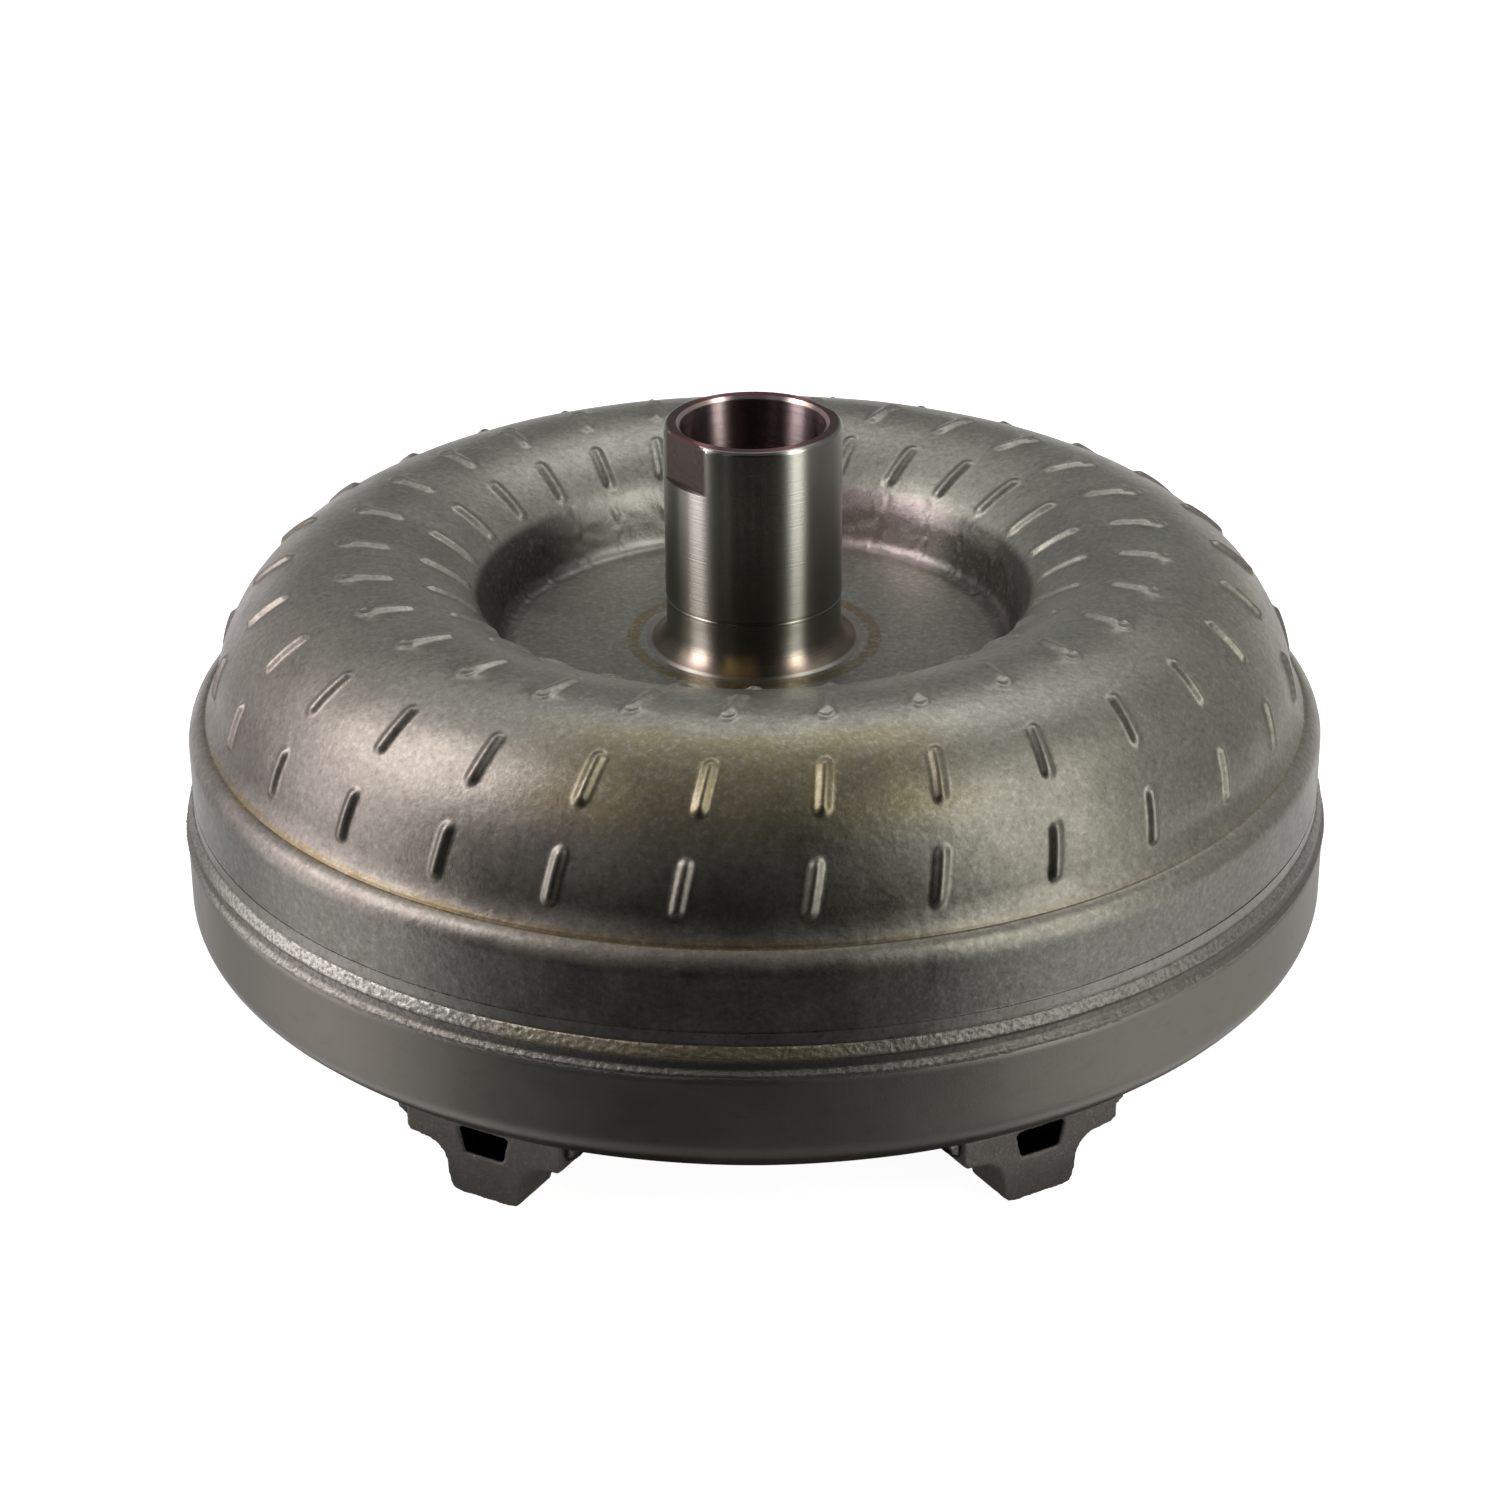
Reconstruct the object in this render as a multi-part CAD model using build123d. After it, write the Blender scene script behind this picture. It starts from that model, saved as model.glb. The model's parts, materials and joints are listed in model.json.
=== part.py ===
from build123d import *
import math
import os

# Torque converter, 300 mm class, with a lock-up clutch.
# Millimetres.  The axis of rotation is Z.  z = 0 is the face of the six mounting lugs
# and +Z points out through the pump drive hub.  Azimuth 0 is -Y, and it grows towards +X.
# Every section is drawn as (r, z) in the half plane through the axis, then turned about Z.

os.makedirs("parts", exist_ok=True)

# ---------------------------------------------------------------- driving dimensions
# pump drive hub
HUB_R = 23.0                    # ground journal that runs in the pump bushing
HUB_BORE_R = 18.75
HUB_TOP = 158.0
HUB_TURNED_R = 22.8             # turned length below the journal
HUB_TURNED_TOP = 111.5
HUB_BASE_R = 28.3               # where the hub flares into the shell plate
HUB_FLANGE_R = 33.0
HUB_BOTTOM = 92.0
FLAT_HALF = 21.0                # half of the distance across the two drive flats
FLAT_DEPTH = 13.0
FLAT_AZIMUTH = -55.0
EDGE_BREAK = 1.0

# impeller shell
SHELL_T = 3.0
PLATE_TOP = 98.0                # flat annular plate around the hub
TORUS_R = 101.0                 # radius of the torus centre line
TORUS_Z = 84.8
TORUS_SECTION_R = 40.4
RECESS_START_DEG = 131.9        # section angle where the torus rolls into the recess
RECESS_ROLL_R = 16.0
RECESS_WALL_DEG = 75.0          # slope of the recess wall
RECESS_FILLET_R = 4.0
FLARE_START_DEG = 8.1           # section angle where the torus flares out to the crease
FLARE_R = 12.0
FLARE_TURN_DEG = 35.8
SHOULDER_START_DEG = 75.0
SKIRT_R = 148.6
SKIRT_BOTTOM = 47.0
SKIRT_GROOVE_Z = 64.3
SKIRT_GROOVE = (0.5, 0.35)      # width, depth

# blade tab embossings of the impeller shell
BLADES = 29
BUMP_W = 3.8
BUMP_H = 1.1
# row: outer end (r, z, azimuth), inner end (r, z, azimuth)
BUMP_ROWS = {
    "rim": ((141.75, 89.8, -7.51), (138.1, 103.1, -6.54)),
    "flank": ((131.6, 111.3, -5.68), (120.9, 120.4, -4.71)),
    "crown": ((107.7, 124.7, -3.50), (94.0, 124.7, -1.88)),
    "recess": ((86.5, 121.8, -0.26), (74.2, 114.7, 1.02)),
}

# closure weld and front cover
COVER_R = 150.65
COVER_TOP = 53.0
COVER_T = 5.0
COVER_BOTTOM = 17.5
COVER_FLAT_R = 120.0            # outer edge of the flat bottom
COVER_BEND_R = 39.8
COVER_BEND_END_R = 148.3        # where the bottom bend meets the corner radius
COVER_INNER_R = 146.0
COVER_INNER_BEND_R = 25.0
RABBET_R = 148.7
WELD_R = 151.15
WELD_TOP = 60.4

# mounting lugs
LUGS = 6
LUG_AZIMUTH = 30.6
LUG_FACE = 136.0                # distance of the outer face from the axis
LUG_DEPTH = 15.0
LUG_HALF_W = 10.2
LUG_CORNER_R = 2.6
LUG_FLARE_R = 6.6
LUG_FLARE_CENTRE = (17.5, 6.4)
LUG_FOOT_HALF = 22.5
LUG_FOOT_Z = 13.6
LUG_TAP_R = 4.25                # M10 tapping size
LUG_WINDOW = (12.0, 19.0, 5.5, 7.2)   # low z, high z, half width low, half width high
LUG_TOP = 30.0                  # before the cover's own shape is cut away
LUG_CHAMFER = (1.0, 1.2)        # across and up, at the foot's outer corner
LUG_WELD = (2.4, 4.6, 3.4, 6.0) # toe heights over the foot, then widths at the toe and the top
LUG_WELD_INSET = 1.5

# pilot
PILOT_R = 22.0
PILOT_BOTTOM = 1.5
PILOT_CHAMFER = 2.0
PILOT_COLLAR = (24.5, 3.7)      # radius and height of the root that is welded to the cover
PILOT_DISH = (14.0, 16.0, 3.0)  # floor radius, rim radius and depth of the dished face
PILOT_SPIGOT_R = 20.0
PILOT_WELD_LEG = 3.0
HUB_WELD_LEG = 3.0

# fluid circuit
CORE_R = 13.5
CORE_T = 1.2
PUMP_EDGE_Z = 85.3              # impeller blade edge at the turbine
PUMP_INLET_Z = 93.5             # impeller blade edge at the stator
TURBINE_Z = 81.8                # centre of the turbine's torus section
TURBINE_EDGE_Z = 81.3
TURBINE_OUTLET_Z = 73.0
TURBINE_T = 1.6
TURBINE_SECTION_R = 39.0
TURBINE_FLANGE_Z = 62.4
TURBINE_FLANGE_IN = 44.0
TURBINE_FILLET_R = 4.0
TURBINE_BLADES = 31
BLADE_T = 1.0
TAB = 0.3                       # how far a blade's edge is pressed into its shells
BLADE_IN_R = 69.5

# turbine hub
JOURNAL_R = 24.0
TURBINE_HUB_BOTTOM = 26.5
TURBINE_HUB_TOP = 66.0
TURBINE_BOSS_R = 34.0
TURBINE_FLANGE_T = 5.0
TURBINE_NECK = (5.0, 8.0)       # from the driven plate up to where the hub starts and ends its cone
SEAL_GROOVE = (21.8, 33.0, 35.0)        # radius at the bottom, low z, high z
SEAL_SIDE_GAP = 0.1
SEAL_DEPTH = 1.8
RIVET_CIRCLE_R = 51.0
RIVETS = 12
RIVET_R = 2.5
RIVET_HEAD = (4.2, 1.8)         # radius, height
RIVET_EDGE = 6.0                # flange beyond the rivet circle
HUB_SPLINE = (24, 12.8, 14.0)   # teeth, minor radius, major radius

# damper and lock-up piston
DAMPER_Z = 46.0
DAMPER_PLATE_T = 4.0
DAMPER_SIDE_T = 2.0
DAMPER_SIDE_GAP = 0.8
DAMPER_R = 64.0
SPRINGS = 6
SPRING_CIRCLE_R = 47.0
SPRING_COIL_R = 5.4
SPRING_WIRE_R = 1.2
SPRING_LENGTH = 19.0
SPRING_TURNS = 6
WINDOW = (40.1, 55.2, 16.5)     # inner radius, outer radius, half angle
STOP_SLOT_DEG = 8.5
STOP_SLOT_DEPTH = 3.6           # from the rivet circle inwards
DAMPER_RIVET_CIRCLE_R = 58.0
DAMPER_RIVET_R = 3.0
DAMPER_RIVET_HEAD = (4.6, 1.6)
DAMPER_BORE_R = 30.0
DAMPER_CUT_Z = (30.0, 60.0)     # reach of the cutters, clear of all the plates
TAB_NOTCH = (4.2, 60.0)         # half angle, inner radius
PISTON_BOTTOM = 24.6
PISTON_T = 4.0
PISTON_R = 120.0
PISTON_BORE_R = 24.15
PISTON_HUB = (29.0, 38.5, 4.5)  # low z, high z, wall
PISTON_DISH_R = 40.0            # where the plate drops from the hub to its flat
PISTON_RIM = (3.0, 6.0)         # wall, height
DRIVE_TAB = (3.9, 60.3, 63.3, 2.4)      # half angle, inner and outer radius, reach into the plate
LINING = (98.0, 119.0, 1.2)     # inner radius, outer radius, thickness

# stator
STATOR_BOTTOM = 72.0
STATOR_TOP = 86.0
STATOR_BORE_R = 42.0
STATOR_VANES = 19
STATOR_BOSS = 8.0               # wall around the clutch bore
STATOR_WEB = (76.0, 83.0, 62.0) # low z, high z, radius where it widens to the vane root
STATOR_ROOT = (73.5, 92.0, 64.0)        # low z, high z, inner radius of the root ring
STATOR_RING_Z = (76.0, 90.0)
VANE_IN_R = 67.5
VANE_OUT_R = 84.3
VANE_NOSE = (-4.0, 91.0)        # the vane's section on the unrolled cylinder: (across, z)
VANE_TAIL = (6.0, 74.5)
VANE_PRESSURE = (-5.0, 82.0)
VANE_SUCTION = (-0.8, 84.5)
STATOR_RING_R = 86.4
CAP_T = 2.0
CAP_BORE_R = 20.5
CAP_LIP = 5.0
RACE_OUT_R = 27.0               # inner race of the one-way clutch
RACE_SPLINE = (28, 17.2, 18.3)
ROLLERS = 12
ROLLER_R = 3.5
CLUTCH_GAP = 0.1
RACE_SIDE_GAP = 0.2
POCKET_HALF_DEG = 12.0          # pocket for one roller and its spring
POCKET_RAMP = 1.5               # offset of the ramp's arc, which wedges the roller
ROLLER_AZIMUTH = 5.0
FOLD_SPRING = (5, 7.5, 1.6, 0.8, 8.0)   # folds, span in degrees, half height, sheet, width
FOLD_SPRING_AZIMUTH = -7.2

# thrust bearings
NEEDLES = 24
NEEDLE_R = 0.96
NEEDLE_MARGIN = 2.0             # from a needle's end to the edge of the races
RACE_T = 1.0
RACE_GAP = 2.0                  # between the two races
CAGE_T = 1.2
CAGE_INSET = 0.5
CAGE_POCKET_GAP = 0.3
SHAFT_BEARING_R = (21.0, 32.5)  # inner and outer radius of the hub and turbine bearings
COVER_BEARING_R = (14.5, 23.8)


# ---------------------------------------------------------------- small helpers
def polar(radius, degrees, centre=(0.0, 0.0)):
    angle = math.radians(degrees)
    return (centre[0] + radius * math.cos(angle), centre[1] + radius * math.sin(angle))


def rect(low, high):
    """Face between two opposite corners."""
    (x0, y0), (x1, y1) = low, high
    return make_face(Polyline((x0, y0), (x1, y0), (x1, y1), (x0, y1), close=True))


def polygon(*points):
    return make_face(Polyline(*points, close=True))


def turn(section):
    """Solid of revolution of an (r, z) section about Z."""
    return revolve(Plane.XZ * section, axis=Axis.Z)


def ring(r_in, r_out, z_low, z_high):
    return turn(rect((r_in, z_low), (r_out, z_high)))


def around(shape, count, start=0.0):
    """Copies of a shape at even steps about Z."""
    return [Rot(0, 0, start + i * 360.0 / count) * shape for i in range(count)]


def azimuth_plane(azimuth, distance, z=0.0):
    """Plane facing outwards: local x is tangential, local y is +Z, local z is radial."""
    a = math.radians(azimuth)
    out = (math.sin(a), -math.cos(a), 0)
    origin = (distance * out[0], distance * out[1], z)
    return Plane(origin=origin, x_dir=(-out[1], out[0], 0), z_dir=out)


def spline_bore(teeth, minor, major, z_low, z_high):
    """Cutter for an internal spline: a round bore with a slot for each tooth of the shaft."""
    height = z_high - z_low
    slot_w = math.pi * (minor + major) / 2 / teeth
    slot = Pos((minor + major) / 2, 0, (z_low + z_high) / 2) * Box(major - minor + 1, slot_w, height)
    keep = ring(minor - 2, major, z_low, z_high)
    return ring(0.0, minor, z_low, z_high) + [tooth & keep for tooth in around(slot, teeth)]


def write(node, shape):
    solids = []
    for item in (shape if isinstance(shape, list) else [shape]):
        solids.extend(item.solids())
    export_step(solids[0] if len(solids) == 1 else Compound(solids), f"parts/{node}.step")


# ---------------------------------------------------------------- impeller shell
TORUS_CENTRE = (TORUS_R, TORUS_Z)


def impeller_region():
    """Everything inside the outer surface of the shell, as an (r, z) face."""
    roll_centre = polar(TORUS_SECTION_R - RECESS_ROLL_R, RECESS_START_DEG, TORUS_CENTRE)
    wall_end = 90 + RECESS_WALL_DEG
    wall_top = polar(RECESS_ROLL_R, wall_end, roll_centre)
    tangent = RECESS_FILLET_R * math.tan(math.radians(RECESS_WALL_DEG / 2))
    corner_r = wall_top[0] - (wall_top[1] - PLATE_TOP) / math.tan(math.radians(RECESS_WALL_DEG))
    fillet_centre = (corner_r - tangent, PLATE_TOP + RECESS_FILLET_R)
    wall_low = polar(RECESS_FILLET_R, RECESS_WALL_DEG - 90, fillet_centre)
    flare_centre = polar(TORUS_SECTION_R + FLARE_R, FLARE_START_DEG, TORUS_CENTRE)
    flare_start = 180 + FLARE_START_DEG
    crease = polar(FLARE_R, flare_start + FLARE_TURN_DEG, flare_centre)
    shoulder_cos = math.cos(math.radians(SHOULDER_START_DEG))
    shoulder_sin = math.sin(math.radians(SHOULDER_START_DEG))
    shoulder_r = (SKIRT_R - crease[0]) / (1 - shoulder_cos)
    shoulder_centre = (SKIRT_R - shoulder_r, crease[1] - shoulder_r * shoulder_sin)
    below = SKIRT_BOTTOM - 20
    edges = [
        Line((-10, PLATE_TOP), (fillet_centre[0], PLATE_TOP)),
        CenterArc(fillet_centre, RECESS_FILLET_R, -90, RECESS_WALL_DEG),
        Line(wall_low, wall_top),
        CenterArc(roll_centre, RECESS_ROLL_R, RECESS_START_DEG, wall_end - RECESS_START_DEG),
        CenterArc(TORUS_CENTRE, TORUS_SECTION_R, FLARE_START_DEG, RECESS_START_DEG - FLARE_START_DEG),
        CenterArc(flare_centre, FLARE_R, flare_start, FLARE_TURN_DEG),
        CenterArc(shoulder_centre, shoulder_r, 0, SHOULDER_START_DEG),
        Line((SKIRT_R, shoulder_centre[1]), (SKIRT_R, below)),
        Line((SKIRT_R, below), (-10, below)),
        Line((-10, below), (-10, PLATE_TOP)),
    ]
    return make_face(Wire(edges))


def bump_prism(outer, inner):
    """Slot-shaped prism square to the shell at the middle of one embossing."""
    r = (outer[0] + inner[0]) / 2
    z = (outer[1] + inner[1]) / 2
    azimuth = math.radians((outer[2] + inner[2]) / 2)
    dr, dz = outer[0] - inner[0], outer[1] - inner[1]
    slant = r * math.radians(outer[2] - inner[2])
    length = math.hypot(dr, dz)
    radial = Vector(math.sin(azimuth), -math.cos(azimuth), 0)
    around_z = Vector(math.cos(azimuth), math.sin(azimuth), 0)
    meridian = radial * (dr / length) + Vector(0, 0, dz / length)
    normal = radial * (-dz / length) + Vector(0, 0, dr / length)
    along = (meridian * length + around_z * slant).normalized()
    base = Plane(origin=radial * r + Vector(0, 0, z), x_dir=along, z_dir=normal)
    slot = SlotOverall(math.hypot(length, slant), BUMP_W)
    return extrude(base * slot, 5.0, both=True)


impeller_outer = impeller_region()
impeller_inner = offset(impeller_outer, -SHELL_T)
shell_limits = rect((HUB_BASE_R, SKIRT_BOTTOM), (SKIRT_R + 1, TORUS_Z + TORUS_SECTION_R + 1))
groove_w, groove_d = SKIRT_GROOVE
groove = rect((SKIRT_R - groove_d, SKIRT_GROOVE_Z - groove_w), (SKIRT_R + 1, SKIRT_GROOVE_Z))
impeller_shell = turn(((impeller_outer - impeller_inner) & shell_limits) - groove)
bump_skin = offset(impeller_outer, BUMP_H) - offset(impeller_outer, -SHELL_T / 6)
bump_layer = turn(bump_skin & rect((60, 85), (160, 140)))
for bump_outer, bump_inner in BUMP_ROWS.values():
    bump = bump_layer & bump_prism(bump_outer, bump_inner)
    impeller_shell = impeller_shell + around(bump, BLADES)
write("impeller_shell", impeller_shell)


# ---------------------------------------------------------------- pump drive hub
flare = HUB_BASE_R - HUB_TURNED_R
hub_section = make_face(Wire([
    Line((HUB_BORE_R, HUB_BOTTOM + EDGE_BREAK), (HUB_BORE_R, HUB_TOP - EDGE_BREAK)),
    Line((HUB_BORE_R, HUB_TOP - EDGE_BREAK), (HUB_BORE_R + EDGE_BREAK, HUB_TOP)),
    Line((HUB_BORE_R + EDGE_BREAK, HUB_TOP), (HUB_R - EDGE_BREAK, HUB_TOP)),
    Line((HUB_R - EDGE_BREAK, HUB_TOP), (HUB_R, HUB_TOP - EDGE_BREAK)),
    Line((HUB_R, HUB_TOP - EDGE_BREAK), (HUB_R, HUB_TURNED_TOP)),
    Line((HUB_R, HUB_TURNED_TOP), (HUB_TURNED_R, HUB_TURNED_TOP)),
    Line((HUB_TURNED_R, HUB_TURNED_TOP), (HUB_TURNED_R, PLATE_TOP + flare)),
    CenterArc((HUB_BASE_R, PLATE_TOP + flare), flare, 180, 90),
    Line((HUB_BASE_R, PLATE_TOP), (HUB_BASE_R, PLATE_TOP - SHELL_T)),
    Line((HUB_BASE_R, PLATE_TOP - SHELL_T), (HUB_FLANGE_R, PLATE_TOP - SHELL_T)),
    Line((HUB_FLANGE_R, PLATE_TOP - SHELL_T), (HUB_FLANGE_R, HUB_BOTTOM)),
    Line((HUB_FLANGE_R, HUB_BOTTOM), (HUB_BORE_R + EDGE_BREAK, HUB_BOTTOM)),
    Line((HUB_BORE_R + EDGE_BREAK, HUB_BOTTOM), (HUB_BORE_R, HUB_BOTTOM + EDGE_BREAK)),
]))
impeller_hub = turn(hub_section)
flat_cut = Pos(0, -(FLAT_HALF + 10), HUB_TOP - FLAT_DEPTH + 20) * Box(60, 20, 40)
for side in (0, 180):
    impeller_hub = impeller_hub - Rot(0, 0, FLAT_AZIMUTH + side) * flat_cut
write("impeller_hub", impeller_hub)

plate_low = PLATE_TOP - SHELL_T
write("impeller_hub_weld", turn(polygon(
    (HUB_FLANGE_R, plate_low), (HUB_FLANGE_R + HUB_WELD_LEG, plate_low),
    (HUB_FLANGE_R, plate_low - HUB_WELD_LEG))))


# ---------------------------------------------------------------- blades and core rings
def blade_strip(azimuth_of, r_in, r_out, z_low, z_high, thickness, steps=6):
    """Upright curved sheet that follows azimuth_of(r) from r_in to r_out."""
    radii = [r_in + (r_out - r_in) * i / steps for i in range(steps + 1)]
    sides = []
    for sign in (-0.5, 0.5):
        points = []
        for r in radii:
            a = math.radians(azimuth_of(r)) + sign * thickness / r
            points.append((r * math.sin(a), -r * math.cos(a)))
        sides.append(points)
    first, second = sides
    outline = Wire([
        Spline(*first),
        Line(first[-1], second[-1]),
        Spline(*second),
        Line(second[0], first[0]),
    ])
    return extrude(Pos(0, 0, z_low) * make_face(outline), z_high - z_low)


def impeller_azimuth(r):
    """The blades lean back towards the rim, in step with the embossings."""
    return 1.9 - 8.9 * ((r - 68.0) / 73.0) ** 1.25


def turbine_azimuth(r):
    return 15.0 * ((r - 101.0) / 38.0) ** 2


def core_section(centre, z_low, z_high):
    tube = Pos(*centre) * (Circle(CORE_R) - Circle(CORE_R - CORE_T))
    return tube & rect((TORUS_R - CORE_R - 1, z_low), (TORUS_R + CORE_R + 1, z_high))


def passage(region, centre, edge_z, inner_edge_z, up):
    """Flow passage of one wheel as an (r, z) face, pressed into both walls by TAB."""
    room = offset(region, TAB) - Pos(*centre) * Circle(CORE_R - TAB)
    far_z = edge_z + up * 60
    outer_half = rect((TORUS_R, min(edge_z, far_z)), (TORUS_R + 60, max(edge_z, far_z)))
    inner_half = rect((BLADE_IN_R, min(inner_edge_z, far_z)), (TORUS_R, max(inner_edge_z, far_z)))
    return room & (outer_half + inner_half)


pump_passage = turn(passage(impeller_inner, TORUS_CENTRE, PUMP_EDGE_Z, PUMP_INLET_Z, 1))
pump_blade = pump_passage & blade_strip(impeller_azimuth, 68.0, 141.0, 84.0, 126.0, BLADE_T)
write("impeller_blades", around(pump_blade, BLADES))
write("impeller_core_ring", turn(core_section(TORUS_CENTRE, PUMP_EDGE_Z, 100)))


# ---------------------------------------------------------------- turbine wheel
TURBINE_CENTRE = (TORUS_R, TURBINE_Z)


def turbine_region():
    """Everything above the lower surface of the turbine shell, as an (r, z) face."""
    reach = TURBINE_SECTION_R + TURBINE_FILLET_R
    drop = TURBINE_FLANGE_Z - TURBINE_FILLET_R - TURBINE_Z
    fillet_centre = (TORUS_R - math.sqrt(reach ** 2 - drop ** 2), TURBINE_Z + drop)
    meet = math.degrees(math.atan2(-drop, TORUS_R - fillet_centre[0]))
    high = TURBINE_Z + 40
    rim = TORUS_R + TURBINE_SECTION_R
    edges = [
        Line((-10, TURBINE_FLANGE_Z), (fillet_centre[0], TURBINE_FLANGE_Z)),
        CenterArc(fillet_centre, TURBINE_FILLET_R, meet, 90 - meet),
        CenterArc(TURBINE_CENTRE, TURBINE_SECTION_R, 180 + meet, 180 - meet),
        Line((rim, TURBINE_Z), (rim, high)),
        Line((rim, high), (-10, high)),
        Line((-10, high), (-10, TURBINE_FLANGE_Z)),
    ]
    return make_face(Wire(edges))


turbine_outer = turbine_region()
turbine_inner = offset(turbine_outer, -TURBINE_T)
turbine_limits = rect((TURBINE_FLANGE_IN, 40), (TORUS_R + 60, TURBINE_EDGE_Z))
rivet_hole = Pos(0, -RIVET_CIRCLE_R, TURBINE_FLANGE_Z) * Cylinder(RIVET_R, 20)
rivet_holes = around(rivet_hole, RIVETS)
turbine_shell = turn((turbine_outer - turbine_inner) & turbine_limits) - rivet_holes
write("turbine_shell", turbine_shell)

turbine_room = turbine_inner & rect((0, 30), (TORUS_R + 60, TURBINE_Z + 5))
turbine_passage = turn(passage(turbine_room, TURBINE_CENTRE, TURBINE_EDGE_Z, TURBINE_OUTLET_Z, -1))
turbine_blade = turbine_passage & blade_strip(turbine_azimuth, 68.0, 139.5, 40.0, 83.0, BLADE_T)
write("turbine_blades", around(turbine_blade, TURBINE_BLADES))
write("turbine_core_ring", turn(core_section(TURBINE_CENTRE, 60, TURBINE_EDGE_Z)))

hub_flange_low = TURBINE_FLANGE_Z - TURBINE_FLANGE_T
driven_low = DAMPER_Z - DAMPER_PLATE_T / 2
driven_high = DAMPER_Z + DAMPER_PLATE_T / 2
groove_r, groove_low, groove_high = SEAL_GROOVE
seal_groove = rect((groove_r, groove_low), (JOURNAL_R + 1, groove_high))
neck_low, neck_high = TURBINE_NECK
flange_r = RIVET_CIRCLE_R + RIVET_EDGE
turbine_hub = turn(polygon(
    (0, TURBINE_HUB_BOTTOM), (JOURNAL_R, TURBINE_HUB_BOTTOM), (JOURNAL_R, driven_high + neck_low),
    (TURBINE_BOSS_R, driven_high + neck_high), (TURBINE_BOSS_R, hub_flange_low),
    (flange_r, hub_flange_low), (flange_r, TURBINE_FLANGE_Z),
    (TURBINE_FLANGE_IN, TURBINE_FLANGE_Z), (TURBINE_FLANGE_IN, TURBINE_FLANGE_Z + TURBINE_T),
    (TURBINE_BOSS_R, TURBINE_HUB_TOP), (0, TURBINE_HUB_TOP)) - seal_groove)
turbine_hub = turbine_hub - spline_bore(*HUB_SPLINE, TURBINE_HUB_BOTTOM - 1, TURBINE_HUB_TOP + 1)
turbine_hub = turbine_hub - rivet_holes
write("turbine_hub", turbine_hub)
seal_low, seal_high = groove_low + SEAL_SIDE_GAP, groove_high - SEAL_SIDE_GAP
write("piston_seal_ring", ring(JOURNAL_R - SEAL_DEPTH, JOURNAL_R + 0.1, seal_low, seal_high))


def rivet(radius, head_r, head_h, z_low, z_high):
    """Rivet on the Z axis: a shank and two cone heads, outside z_low and z_high."""
    return turn(polygon(
        (0, z_low - head_h), (head_r - 1, z_low - head_h), (head_r, z_low), (radius, z_low),
        (radius, z_high), (head_r, z_high), (head_r - 1, z_high + head_h), (0, z_high + head_h)))


turbine_rivet = rivet(RIVET_R, *RIVET_HEAD, hub_flange_low, TURBINE_FLANGE_Z + TURBINE_T)
write("turbine_rivets", around(Pos(0, -RIVET_CIRCLE_R, 0) * turbine_rivet, RIVETS))


# ---------------------------------------------------------------- torsional damper
def sector(half_deg, r_in, r_out, z_low, z_high):
    """Block between two radii and two angles, centred on azimuth 0."""
    a = math.radians(half_deg)
    reach = r_out / math.cos(a) + 1
    across, out = reach * math.sin(a), -reach * math.cos(a)
    wedge = polygon((0, 0), (across, out), (-across, out))
    return ring(r_in, r_out, z_low, z_high) & extrude(Pos(0, 0, z_low) * wedge, z_high - z_low)


window_in, window_out, window_half = WINDOW
window = sector(window_half, window_in, window_out, *DAMPER_CUT_Z)
stop_slot = sector(STOP_SLOT_DEG, DAMPER_RIVET_CIRCLE_R - STOP_SLOT_DEPTH, DAMPER_R + 1, *DAMPER_CUT_Z)
driven = ring(JOURNAL_R, DAMPER_R - 1, driven_low, driven_high)
driven = driven - around(window, SPRINGS) - around(stop_slot, SPRINGS, 180 / SPRINGS)
write("damper_driven_plate", driven)

spring_path = Helix(SPRING_LENGTH / SPRING_TURNS, SPRING_LENGTH, SPRING_COIL_R)
spring_wire = Plane(origin=spring_path @ 0, z_dir=spring_path % 0) * Circle(SPRING_WIRE_R)
spring = sweep(spring_wire, path=spring_path)
spring = Pos(-SPRING_LENGTH / 2, -SPRING_CIRCLE_R, DAMPER_Z) * Rot(0, 90, 0) * spring
write("damper_springs", around(spring, SPRINGS))

side_low = driven_low - DAMPER_SIDE_GAP - DAMPER_SIDE_T
side_high = driven_high + DAMPER_SIDE_GAP
notch_half, notch_r = TAB_NOTCH
tab_notch = sector(notch_half, notch_r, DAMPER_R + 3, *DAMPER_CUT_Z)
damper_rivet_hole = Pos(0, -DAMPER_RIVET_CIRCLE_R, DAMPER_Z) * Cylinder(DAMPER_RIVET_R, 30)
for node, z_low, outer_r, notched in (
    ("damper_drive_plate", side_low, DAMPER_R + 2, True),
    ("damper_retainer_plate", side_high, DAMPER_R - 1, False),
):
    plate = ring(DAMPER_BORE_R, outer_r, z_low, z_low + DAMPER_SIDE_T)
    plate = plate - around(window, SPRINGS) - around(damper_rivet_hole, SPRINGS, 180 / SPRINGS)
    if notched:
        plate = plate - around(tab_notch, SPRINGS)
    write(node, plate)
damper_rivet = rivet(DAMPER_RIVET_R, *DAMPER_RIVET_HEAD, side_low, side_high + DAMPER_SIDE_T)
write("damper_rivets", around(Pos(0, -DAMPER_RIVET_CIRCLE_R, 0) * damper_rivet, SPRINGS, 180 / SPRINGS))


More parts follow.
